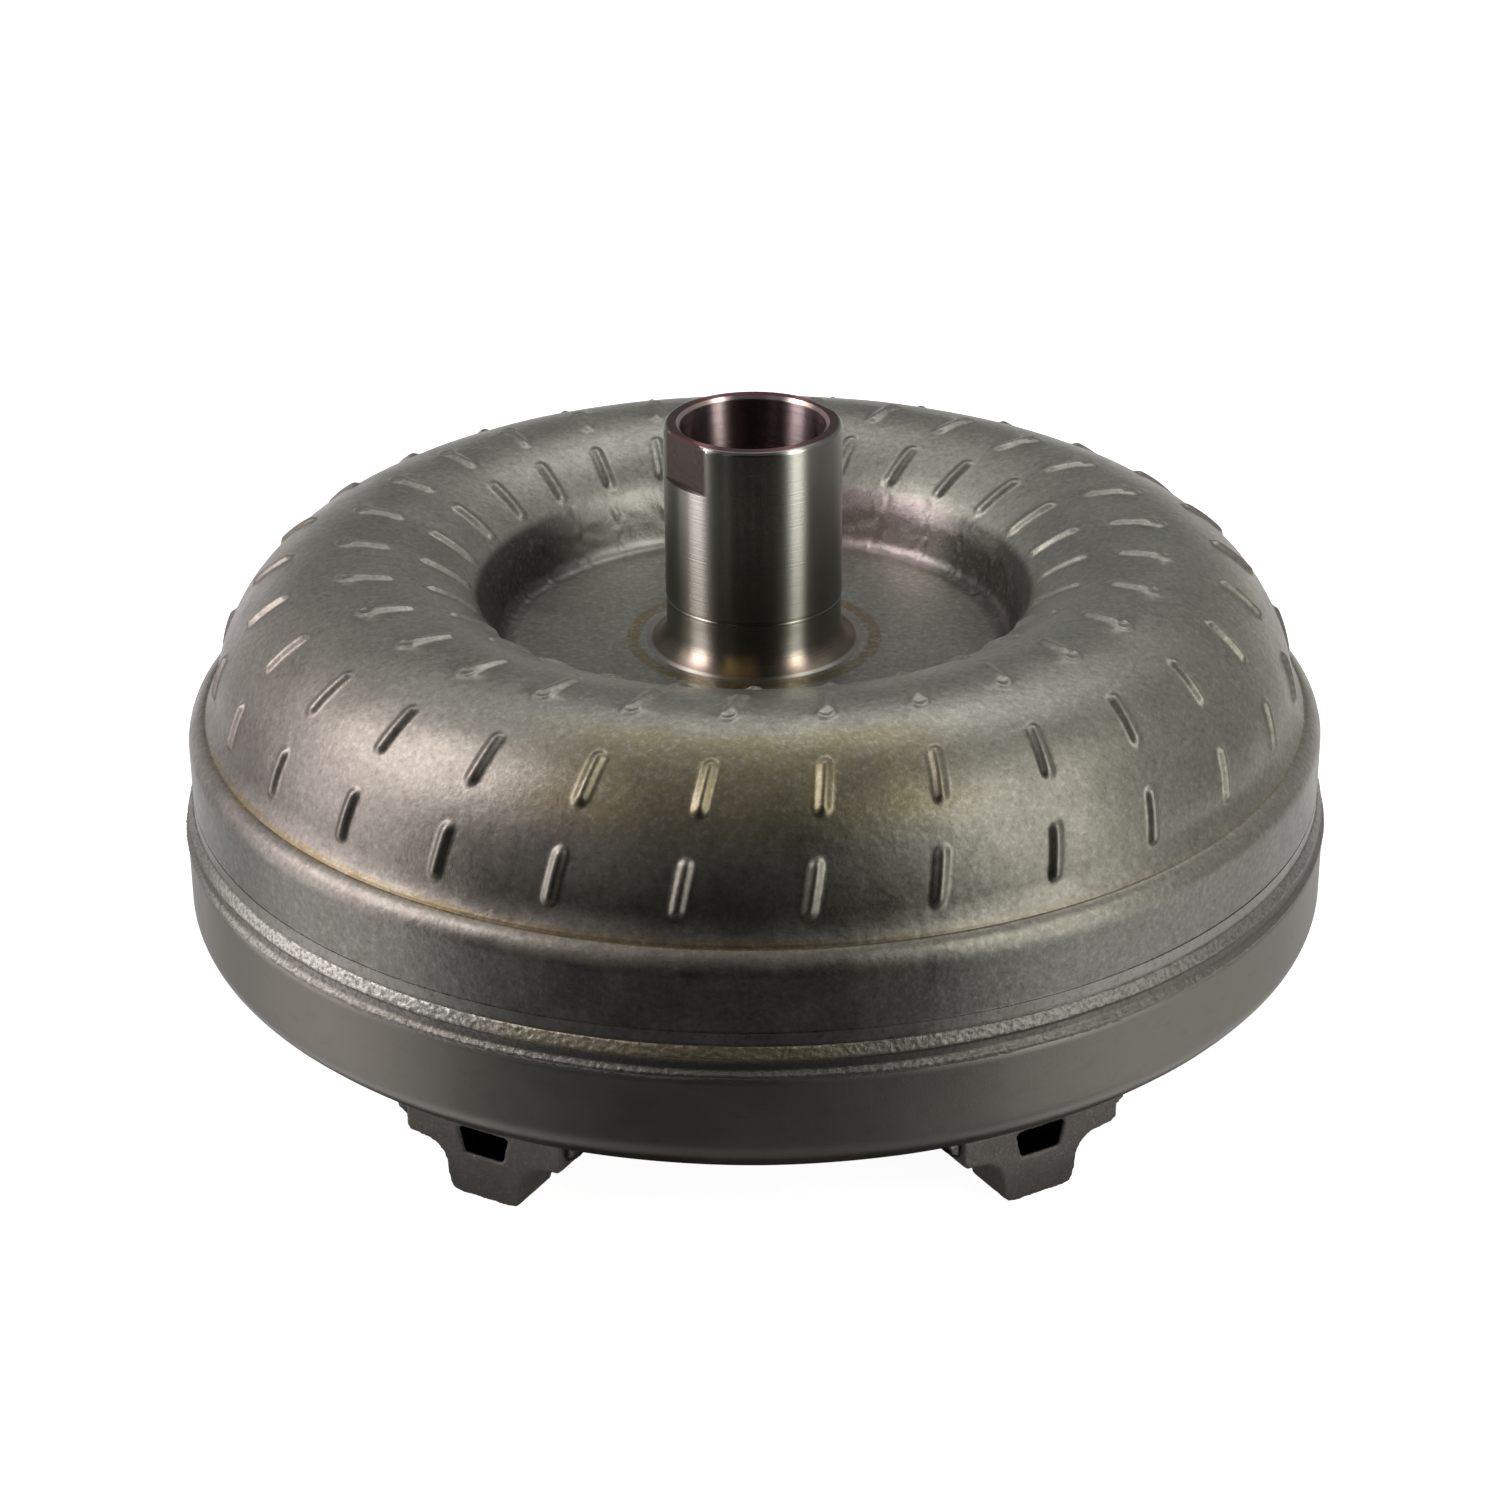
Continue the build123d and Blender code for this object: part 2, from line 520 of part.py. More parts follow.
# ---------------------------------------------------------------- lock-up piston
piston_high = PISTON_BOTTOM + PISTON_T
boss_low, boss_high, boss_wall = PISTON_HUB
rim_wall, rim_height = PISTON_RIM
dish_drop = 2.0
lockup_piston = turn(polygon(
    (PISTON_BORE_R, boss_low), (PISTON_BORE_R + boss_wall - 0.5, PISTON_BOTTOM + dish_drop),
    (PISTON_DISH_R, PISTON_BOTTOM), (PISTON_R, PISTON_BOTTOM), (PISTON_R, piston_high + rim_height),
    (PISTON_R - rim_wall, piston_high + rim_height), (PISTON_R - rim_wall, piston_high),
    (PISTON_DISH_R, piston_high), (PISTON_BORE_R + boss_wall, piston_high + dish_drop),
    (PISTON_BORE_R + boss_wall, boss_high), (PISTON_BORE_R, boss_high)))
tab_half, tab_in, tab_out, tab_reach = DRIVE_TAB
drive_tab = sector(tab_half, tab_in, tab_out, piston_high - 1, side_low + tab_reach)
lockup_piston = lockup_piston + around(drive_tab, SPRINGS)
write("lockup_piston", lockup_piston)
lining_in, lining_out, lining_t = LINING
lining = ring(lining_in, lining_out, PISTON_BOTTOM - lining_t, PISTON_BOTTOM)
write("friction_lining", lining)


# ---------------------------------------------------------------- stator and one-way clutch
def vane():
    """One cambered vane, drawn on the unrolled cylinder and carried out along the radius."""
    section = make_face(Wire([
        ThreePointArc(VANE_NOSE, VANE_PRESSURE, VANE_TAIL),
        ThreePointArc(VANE_TAIL, VANE_SUCTION, VANE_NOSE),
    ]))
    block = extrude(azimuth_plane(0, VANE_IN_R - 3) * section, STATOR_RING_R - VANE_IN_R + 6)
    return block & ring(VANE_IN_R - 0.5, VANE_OUT_R + 0.5, STATOR_BOTTOM, STATOR_ROOT[1])


boss_r = STATOR_BORE_R + STATOR_BOSS
web_low, web_high, web_r = STATOR_WEB
root_low, root_high, root_r = STATOR_ROOT
stator_wheel = turn(polygon(
    (STATOR_BORE_R, STATOR_BOTTOM), (boss_r, STATOR_BOTTOM), (boss_r + 2, web_low),
    (web_r, web_low), (root_r, root_low), (VANE_IN_R, root_low), (VANE_IN_R, root_high),
    (root_r, root_high), (web_r, web_high), (boss_r + 2, web_high),
    (boss_r, STATOR_TOP), (STATOR_BORE_R, STATOR_TOP)))
stator_wheel = stator_wheel + ring(VANE_OUT_R, STATOR_RING_R, *STATOR_RING_Z)
stator_wheel = stator_wheel + around(vane(), STATOR_VANES)
write("stator_wheel", stator_wheel)

roller_circle_r = RACE_OUT_R + ROLLER_R + CLUTCH_GAP
pocket_r = roller_circle_r + ROLLER_R
clutch_mid = (STATOR_BOTTOM + STATOR_TOP) / 2
clutch_len = STATOR_TOP - STATOR_BOTTOM - 1
pocket = sector(POCKET_HALF_DEG, RACE_OUT_R, pocket_r + 2, STATOR_BOTTOM - 1, STATOR_TOP + 1)
ramp = Pos(POCKET_RAMP, 0, clutch_mid) * Cylinder(pocket_r, clutch_len + 3)
outer_race = ring(RACE_OUT_R + 1, STATOR_BORE_R, STATOR_BOTTOM, STATOR_TOP)
outer_race = outer_race - around(pocket & ramp, ROLLERS)
write("clutch_outer_race", outer_race)

roller = Pos(0, -roller_circle_r, clutch_mid) * Cylinder(ROLLER_R, clutch_len)
roller = Rot(0, 0, ROLLER_AZIMUTH) * roller
write("clutch_rollers", around(roller, ROLLERS))

folds, fold_deg, fold_half, fold_t, fold_w = FOLD_SPRING
fold_span = math.radians(fold_deg) * roller_circle_r
fold_path = [
    (-fold_span / 2 + fold_span * i / folds, fold_half if i % 2 else -fold_half)
    for i in range(folds + 1)
]
fold_back = [(x, y + fold_t) for x, y in reversed(fold_path)]
fold_place = Pos(0, -roller_circle_r, clutch_mid - fold_w / 2)
fold_strip = extrude(fold_place * polygon(*fold_path, *fold_back), fold_w)
write("clutch_springs", around(Rot(0, 0, FOLD_SPRING_AZIMUTH) * fold_strip, ROLLERS))

inner_race = ring(10, RACE_OUT_R, STATOR_BOTTOM + RACE_SIDE_GAP, STATOR_TOP - RACE_SIDE_GAP)
inner_race = inner_race - spline_bore(*RACE_SPLINE, STATOR_BOTTOM - 1, STATOR_TOP + 1)
write("clutch_inner_race", inner_race)

for node, z_low in (("stator_cap_upper", STATOR_TOP), ("stator_cap_lower", STATOR_BOTTOM - CAP_T)):
    write(node, ring(CAP_BORE_R, STATOR_BORE_R + CAP_LIP, z_low, z_low + CAP_T))


# ---------------------------------------------------------------- thrust bearings
def thrust_bearing(name, z_low, r_in, r_out):
    """Two flat races with a cage of radial needles between them, from z_low upwards."""
    gap_low = z_low + RACE_T
    gap_high = gap_low + RACE_GAP
    middle = (gap_low + gap_high) / 2
    needle_len = r_out - r_in - 2 * NEEDLE_MARGIN
    needle_place = Pos(0, -(r_in + r_out) / 2, middle)
    needle = needle_place * Rot(90, 0, 0) * Cylinder(NEEDLE_R, needle_len)
    pocket_w = 2 * NEEDLE_R + CAGE_POCKET_GAP
    needle_pocket = needle_place * Box(pocket_w, needle_len + CAGE_POCKET_GAP, RACE_GAP)
    cage = ring(r_in + CAGE_INSET, r_out - CAGE_INSET, middle - CAGE_T / 2, middle + CAGE_T / 2)
    write(f"{name}_race_lower", ring(r_in, r_out, z_low, gap_low))
    write(f"{name}_race_upper", ring(r_in, r_out, gap_high, gap_high + RACE_T))
    write(f"{name}_cage", cage - around(needle_pocket, NEEDLES))
    write(f"{name}_needles", around(needle, NEEDLES))


thrust_bearing("hub_bearing", STATOR_TOP + CAP_T, *SHAFT_BEARING_R)
thrust_bearing("turbine_bearing", TURBINE_HUB_TOP, *SHAFT_BEARING_R)
thrust_bearing("cover_bearing", COVER_BOTTOM + COVER_T, *COVER_BEARING_R)


# ---------------------------------------------------------------- front cover
bend_centre = (COVER_FLAT_R, COVER_BOTTOM + COVER_BEND_R)
bend_deg = math.degrees(math.asin((COVER_BEND_END_R - COVER_FLAT_R) / COVER_BEND_R))
bend_end = polar(COVER_BEND_R, bend_deg - 90, bend_centre)
corner_r = (COVER_R - COVER_BEND_END_R) / (1 - math.sin(math.radians(bend_deg)))
corner_z = bend_end[1] + corner_r * math.cos(math.radians(bend_deg))
corner_centre = (COVER_R - corner_r, corner_z)
inside_z = COVER_BOTTOM + COVER_T
inside_centre = (COVER_INNER_R - COVER_INNER_BEND_R, inside_z + COVER_INNER_BEND_R)
cover_outer = make_face(Wire([
    Line((0, COVER_BOTTOM), (COVER_FLAT_R, COVER_BOTTOM)),
    CenterArc(bend_centre, COVER_BEND_R, -90, bend_deg),
    CenterArc(corner_centre, corner_r, bend_deg - 90, 90 - bend_deg),
    Line((COVER_R, corner_z), (COVER_R, COVER_TOP)),
    Line((COVER_R, COVER_TOP), (0, COVER_TOP)),
    Line((0, COVER_TOP), (0, COVER_BOTTOM)),
]))
cover_cavity = make_face(Wire([
    Line((0, inside_z), (inside_centre[0], inside_z)),
    CenterArc(inside_centre, COVER_INNER_BEND_R, -90, 90),
    Line((COVER_INNER_R, inside_centre[1]), (COVER_INNER_R, COVER_TOP + 1)),
    Line((COVER_INNER_R, COVER_TOP + 1), (0, COVER_TOP + 1)),
    Line((0, COVER_TOP + 1), (0, inside_z)),
]))
rabbet = rect((COVER_INNER_R - 1, SKIRT_BOTTOM), (RABBET_R, COVER_TOP + 1))
centre_hole = rect((-1, 0), (PILOT_SPIGOT_R, 40))
write("front_cover", turn(cover_outer - cover_cavity - rabbet - centre_hole))
cover_envelope = turn(cover_outer)

write("closure_weld", turn(make_face(Wire([
    ThreePointArc((SKIRT_R, WELD_TOP), (SKIRT_R + 1.75, WELD_TOP - 3.2), (WELD_R, COVER_TOP + 0.2)),
    Line((WELD_R, COVER_TOP + 0.2), (WELD_R, COVER_TOP - 0.6)),
    Line((WELD_R, COVER_TOP - 0.6), (COVER_R, COVER_TOP - 1.1)),
    Line((COVER_R, COVER_TOP - 1.1), (COVER_R, COVER_TOP)),
    Line((COVER_R, COVER_TOP), (SKIRT_R, COVER_TOP)),
    Line((SKIRT_R, COVER_TOP), (SKIRT_R, WELD_TOP)),
]))))

collar_r, collar_h = PILOT_COLLAR
dish_floor_r, dish_rim_r, dish_depth = PILOT_DISH
write("pilot_boss", turn(polygon(
    (0, PILOT_BOTTOM + dish_depth), (dish_floor_r, PILOT_BOTTOM + dish_depth),
    (dish_rim_r, PILOT_BOTTOM), (PILOT_R - PILOT_CHAMFER, PILOT_BOTTOM),
    (PILOT_R, PILOT_BOTTOM + PILOT_CHAMFER), (PILOT_R, COVER_BOTTOM - collar_h),
    (collar_r, COVER_BOTTOM - collar_h), (collar_r, COVER_BOTTOM),
    (PILOT_SPIGOT_R, COVER_BOTTOM), (PILOT_SPIGOT_R, inside_z), (0, inside_z))))
write("pilot_weld", turn(polygon(
    (collar_r, COVER_BOTTOM), (collar_r, COVER_BOTTOM - PILOT_WELD_LEG),
    (collar_r + PILOT_WELD_LEG, COVER_BOTTOM))))


# ---------------------------------------------------------------- mounting lugs
def lug_outline():
    """Front view of a lug: a block that flares into two feet under the cover."""
    flare_end = polar(LUG_FLARE_R, 95, LUG_FLARE_CENTRE)
    flare_low = polar(LUG_FLARE_R, 180, LUG_FLARE_CENTRE)
    chamfer_w, chamfer_h = LUG_CHAMFER
    chamfer_start = (LUG_FOOT_HALF - chamfer_w, LUG_FOOT_Z)
    chamfer_end = (LUG_FOOT_HALF, LUG_FOOT_Z + chamfer_h)
    half = make_face(Wire([
        Line((0, 0), (LUG_HALF_W - LUG_CORNER_R, 0)),
        CenterArc((LUG_HALF_W - LUG_CORNER_R, LUG_CORNER_R), LUG_CORNER_R, -90, 90),
        Line((LUG_HALF_W, LUG_CORNER_R), flare_low),
        CenterArc(LUG_FLARE_CENTRE, LUG_FLARE_R, 95, 85),
        Line(flare_end, chamfer_start),
        Line(chamfer_start, chamfer_end),
        Line(chamfer_end, (LUG_FOOT_HALF, LUG_TOP)),
        Line((LUG_FOOT_HALF, LUG_TOP), (0, LUG_TOP)),
        Line((0, LUG_TOP), (0, 0)),
    ]))
    low, high, half_low, half_high = LUG_WINDOW
    hole = polygon((-half_low, low), (half_low, low), (half_high, high), (-half_high, high))
    return half + mirror(half, Plane.YZ) - hole


lug_block = extrude(azimuth_plane(0, LUG_FACE - LUG_DEPTH) * lug_outline(), LUG_DEPTH)
lug_tap = Pos(0, -(LUG_FACE - LUG_DEPTH / 2), 0) * Cylinder(LUG_TAP_R, 2 * LUG_WINDOW[0] + 2)
lug = lug_block - lug_tap - cover_envelope
toe_low, toe_high, toe_w, top_w = LUG_WELD
weld_outline = polygon(
    (LUG_FOOT_HALF, LUG_FOOT_Z + toe_low), (LUG_FOOT_HALF + toe_w, LUG_FOOT_Z + toe_high),
    (LUG_FOOT_HALF + top_w, LUG_TOP), (LUG_FOOT_HALF, LUG_TOP))
weld_plane = azimuth_plane(0, LUG_FACE - LUG_DEPTH + LUG_WELD_INSET)
lug_weld = extrude(weld_plane * weld_outline, LUG_DEPTH - 2 * LUG_WELD_INSET) - cover_envelope
lug_weld_pair = [lug_weld, mirror(lug_weld, Plane.YZ)]
lug_welds = []
for i in range(LUGS):
    place = Rot(0, 0, LUG_AZIMUTH + i * 360 / LUGS)
    write(f"mounting_lug_{i + 1}", place * lug)
    lug_welds.extend(place * bead for bead in lug_weld_pair)
write("lug_welds", lug_welds)
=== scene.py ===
"""Looks of the torque converter: detail meshes, procedural steel, soft studio light and camera.

Sizes are in millimetres and azimuths in degrees (0 points at the camera, -Y; positive towards +X);
ring_mesh() and the other mesh calls turn them into metres.
"""

import json
import math

import bpy
import numpy as np
from mathutils import Matrix, Vector, noise


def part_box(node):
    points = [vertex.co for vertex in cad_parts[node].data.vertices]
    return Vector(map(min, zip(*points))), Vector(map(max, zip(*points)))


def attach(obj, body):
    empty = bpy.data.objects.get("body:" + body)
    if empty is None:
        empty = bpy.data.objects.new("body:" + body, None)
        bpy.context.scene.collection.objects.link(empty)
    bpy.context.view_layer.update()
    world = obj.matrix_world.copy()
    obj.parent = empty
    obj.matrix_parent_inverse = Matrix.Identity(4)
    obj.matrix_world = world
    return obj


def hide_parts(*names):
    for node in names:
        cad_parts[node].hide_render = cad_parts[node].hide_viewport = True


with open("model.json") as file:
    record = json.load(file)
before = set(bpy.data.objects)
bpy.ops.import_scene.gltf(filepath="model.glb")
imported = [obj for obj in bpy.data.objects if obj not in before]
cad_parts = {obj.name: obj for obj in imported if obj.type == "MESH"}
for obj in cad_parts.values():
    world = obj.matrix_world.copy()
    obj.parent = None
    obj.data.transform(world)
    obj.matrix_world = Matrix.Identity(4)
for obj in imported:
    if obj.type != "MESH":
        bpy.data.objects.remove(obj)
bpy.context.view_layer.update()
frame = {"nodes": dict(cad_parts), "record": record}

MM = 0.001


def frame_size(node):
    """(outer radius, lowest z, highest z) of a turned CAD node, in mm."""
    low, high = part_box(node)
    return high.x / MM, low.z / MM, high.z / MM


# ---------------------------------------------------------------- sizes
HUB_FLANGE_R, HUB_BOTTOM, HUB_TOP = frame_size("impeller_hub")
HUB_R = 23.0
HUB_BORE_R = 18.75
HUB_TURNED_R = 22.8
HUB_TURNED_TOP = 111.5
HUB_BASE_R = 28.3
FLAT_HALF = 21.0
FLAT_DEPTH = 13.0
FLAT_AZIMUTHS = (-55.0, 125.0)
EDGE_BREAK = 1.0

SKIRT_R, SKIRT_BOTTOM, _ = frame_size("impeller_shell")
SHELL_T = 3.0
PLATE_TOP = 98.0
TORUS_CENTRE = (101.0, 84.8)
TORUS_SECTION_R = 40.4
ROLL_R = 16.0
ROLL_START = 131.9
WALL_SLOPE = 75.0
FILLET_R = 4.0
FLARE_START = 8.1
FLARE_R = 12.0
FLARE_TURN = 35.8
SHOULDER_START = 75.0
GROOVE_TOP = 64.3
GROOVE_W = 0.5
GROOVE_D = 0.35

BLADES = 29
BUMP_H = 1.1
# each embossing runs between two (radius, z, azimuth) ends
BUMP_ROWS = {
    "rim": ((141.75, 89.8, -7.51), (138.1, 103.1, -6.54)),
    "flank": ((131.6, 111.3, -5.68), (120.9, 120.4, -4.71)),
    "crown": ((107.7, 124.7, -3.50), (94.0, 124.7, -1.88)),
    "recess": ((86.5, 121.8, -0.26), (74.2, 114.7, 1.02)),
}
BUMP_HEIGHTS = {"rim": BUMP_H, "flank": BUMP_H, "crown": 0.7, "recess": 0.9}
BUMP_FLAT = 0.1                 # half width of the level top
BUMP_FOOT = 2.5                 # half width at the foot
BUMP_END = 1.6                  # from a row's ends to the centres of its round ends
CREASE_GROOVE = (0.35, 0.16)    # half width and depth of the line at the foot of the torus

COVER_R, COVER_BOTTOM, COVER_TOP = frame_size("front_cover")
COVER_T = 5.0
COVER_FLAT_R = 120.0
COVER_BEND_R = 39.8
COVER_BEND_END_R = 148.3
COVER_INNER_R = 146.0
COVER_INNER_BEND_R = 25.0
RABBET_R = 148.7
WELD_R, _, WELD_TOP = frame_size("closure_weld")

PILOT_COLLAR_R, PILOT_BOTTOM, PILOT_TOP = frame_size("pilot_boss")
PILOT_COLLAR_H = 3.7
PILOT_R = 22.0
PILOT_SPIGOT_R = 20.0

LUG_FACE = 136.0
LUG_DEPTH = 15.0
LUG_AZIMUTH = 30.6
LUG_STEP = 60.0


# ---------------------------------------------------------------- profiles in (r, z)
def polar(radius, degrees, centre=(0.0, 0.0)):
    angle = math.radians(degrees)
    return (centre[0] + radius * math.cos(angle), centre[1] + radius * math.sin(angle))


def arc(centre, radius, start, end, steps):
    return [polar(radius, start + (end - start) * i / steps, centre) for i in range(steps + 1)]


def line(first, last, steps=1):
    ratios = [i / steps for i in range(steps + 1)]
    return [(first[0] + (last[0] - first[0]) * t, first[1] + (last[1] - first[1]) * t) for t in ratios]


def outline(*stretches):
    """One (n, 2) array from stretches that follow each other, without doubled points."""
    points = [p for stretch in stretches for p in stretch]
    kept = [points[0]]
    for p in points[1:]:
        if math.dist(p, kept[-1]) > 1e-4:
            kept.append(p)
    return np.array(kept)


def profile_normals(points):
    """Unit normals to the left of the walking direction, which is outwards here."""
    step = np.gradient(points, axis=0)
    normals = np.column_stack((-step[:, 1], step[:, 0]))
    return normals / np.linalg.norm(normals, axis=1)[:, None]


def lengths(points):
    return np.concatenate(([0.0], np.cumsum(np.linalg.norm(np.diff(points, axis=0), axis=1))))


def smoothstep(low, high, value):
    t = np.clip((value - low) / (high - low), 0, 1)
    return t * t * (3 - 2 * t)


# ---------------------------------------------------------------- mesh calls
def add_object(name, mesh, material, body, slot, *nodes, sharp=40):
    """Links a mesh as a piece of the object that stands for CAD nodes."""
    mesh.materials.append(material)
    mesh.shade_smooth()
    mesh.set_sharp_from_angle(angle=math.radians(sharp))
    piece = bpy.data.objects.new(name, mesh)
    bpy.context.scene.collection.objects.link(piece)
    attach(piece, body)
    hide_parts(*nodes)
    return piece


def ring_mesh(name, radius, height, azimuth):
    """Closed mesh round the axis: rows follow a closed profile and columns go round it.

    radius, height and azimuth are (rows, columns) arrays, or single rows or columns of them.
    """
    radius, height, azimuth = np.broadcast_arrays(radius, height, azimuth)
    angle = np.radians(azimuth)
    places = np.stack((radius * np.sin(angle), -radius * np.cos(angle), height), axis=-1) * MM
    index = np.arange(radius.size).reshape(radius.shape)
    next_row = np.roll(index, -1, axis=0)
    faces = np.stack((index, next_row, np.roll(next_row, -1, axis=1), np.roll(index, -1, axis=1)), axis=-1)
    mesh = bpy.data.meshes.new(name)
    mesh.from_pydata(places.reshape(-1, 3).tolist(), [], faces.reshape(-1, 4).tolist())
    return mesh


def ring_noise(rng, azimuth, along, waves, finest, along_finest):
    """Sum of random waves round the ring and along its profile, with a spread of about 1."""
    angle = np.radians(azimuth)
    total = np.zeros(np.broadcast_shapes(np.shape(azimuth), np.shape(along)))
    for _ in range(waves):
        turns = rng.integers(1, finest + 1)
        tilt = rng.uniform(-along_finest, along_finest)
        total += np.cos(turns * angle + tilt * along + rng.uniform(0, 2 * math.pi))
    return total / math.sqrt(waves / 2)


# ---------------------------------------------------------------- shader calls
class Nodes:
    """A node tree with short calls for the few nodes that are used here."""

    def __init__(self, tree):
        self.tree = tree

    def node(self, kind, inputs=(), **settings):
        made = self.tree.nodes.new("ShaderNode" + kind)
        for key, value in settings.items():
            setattr(made, key, value)
        for socket, value in dict(inputs).items():
            if isinstance(value, bpy.types.NodeSocket):
                self.tree.links.new(value, made.inputs[socket])
            else:
                made.inputs[socket].default_value = value
        return made

    def math(self, operation, first, second=0.0):
        return self.node("Math", {0: first, 1: second}, operation=operation).outputs[0]

    def smooth(self, value, low, high, out_low=0.0, out_high=1.0):
        """Smooth step from out_low at low to out_high at high."""
        sockets = {"Value": value, "From Min": low, "From Max": high, "To Min": out_low, "To Max": out_high}
        return self.node("MapRange", sockets, interpolation_type="SMOOTHSTEP").outputs[0]

    def band(self, value, low, high, soft):
        """1 between low and high, fading to 0 over soft on each side."""
        rise = self.smooth(value, low - soft, low)
        fall = self.smooth(value, high, high + soft, 1.0, 0.0)
        return self.math("MULTIPLY", rise, fall)

    def times(self, *values):
        product = values[0]
        for value in values[1:]:
            product = self.math("MULTIPLY", product, value)
        return product

    def plus(self, *values):
        total = values[0]
        for value in values[1:]:
            total = self.math("ADD", total, value)
        return total

    def mix(self, factor, first, second):
        made = self.node("Mix", data_type="RGBA")
        for socket, value in ((0, factor), (6, first), (7, second)):
            if isinstance(value, bpy.types.NodeSocket):
                self.tree.links.new(value, made.inputs[socket])
            else:
                made.inputs[socket].default_value = value if socket == 0 else (*value, 1.0)
        return made.outputs[2]


class Steel(Nodes):
    """A Principled material that is painted in the object's own millimetres."""

    def __init__(self, name, metallic=1.0, **constants):
        self.material = bpy.data.materials.new(name)
        self.material.use_nodes = True
        super().__init__(self.material.node_tree)
        self.shader = self.tree.nodes["Principled BSDF"]
        self.shader.inputs["Metallic"].default_value = metallic
        for socket, value in constants.items():
            self.shader.inputs[socket.replace("_", " ")].default_value = value
        place = self.node("TexCoord").outputs["Object"]
        scaled = self.node("VectorMath", {0: place, "Scale": 1 / MM}, operation="SCALE").outputs[0]
        self.place = scaled
        split = self.node("SeparateXYZ", {0: scaled})
        self.x, self.y, self.z = split.outputs
        self.radius = self.math("SQRT", self.plus(self.times(self.x, self.x), self.times(self.y, self.y)))
        back = self.math("MULTIPLY", self.y, -1.0)
        self.azimuth = self.math("MULTIPLY", self.math("ARCTAN2", self.x, back), math.degrees(1))

    def noise(self, size, detail=3.0, roughness=0.55, stretch=(1.0, 1.0, 1.0), distortion=0.0):
        """Noise from 0 to 1 with features of about size mm, longer along an axis by stretch."""
        mapped = self.node("Mapping", {"Vector": self.place, "Scale": [1 / s for s in stretch]}).outputs[0]
        sockets = {"Vector": mapped, "Scale": 1 / size, "Detail": detail, "Roughness": roughness,
                   "Distortion": distortion}
        return self.node("TexNoise", sockets).outputs[0]

    def turning(self, pitch):
        """Fine lathe lines: noise that only changes with height and radius."""
        line_place = self.node("CombineXYZ", {0: self.radius, 1: 0.0, 2: self.z}).outputs[0]
        return self.node("TexNoise", {"Vector": line_place, "Scale": 1 / pitch, "Detail": 2.0}).outputs[0]

    def cells(self, size):
        return self.node("TexVoronoi", {"Vector": self.place, "Scale": 1 / size}).outputs["Distance"]

    def finish(self, color, roughness, *heights):
        """Joins colour, roughness and (height, depth in mm) pairs to the shader."""
        self.tree.links.new(color, self.shader.inputs["Base Color"])
        self.tree.links.new(roughness, self.shader.inputs["Roughness"])
        normal = None
        for height, depth in heights:
            sockets = {"Height": height, "Distance": depth * MM, "Strength": 1.0}
            if normal is not None:
                sockets["Normal"] = normal
            normal = self.node("Bump", sockets).outputs[0]
        if normal is not None:
            self.tree.links.new(normal, self.shader.inputs["Normal"])
        return self.material


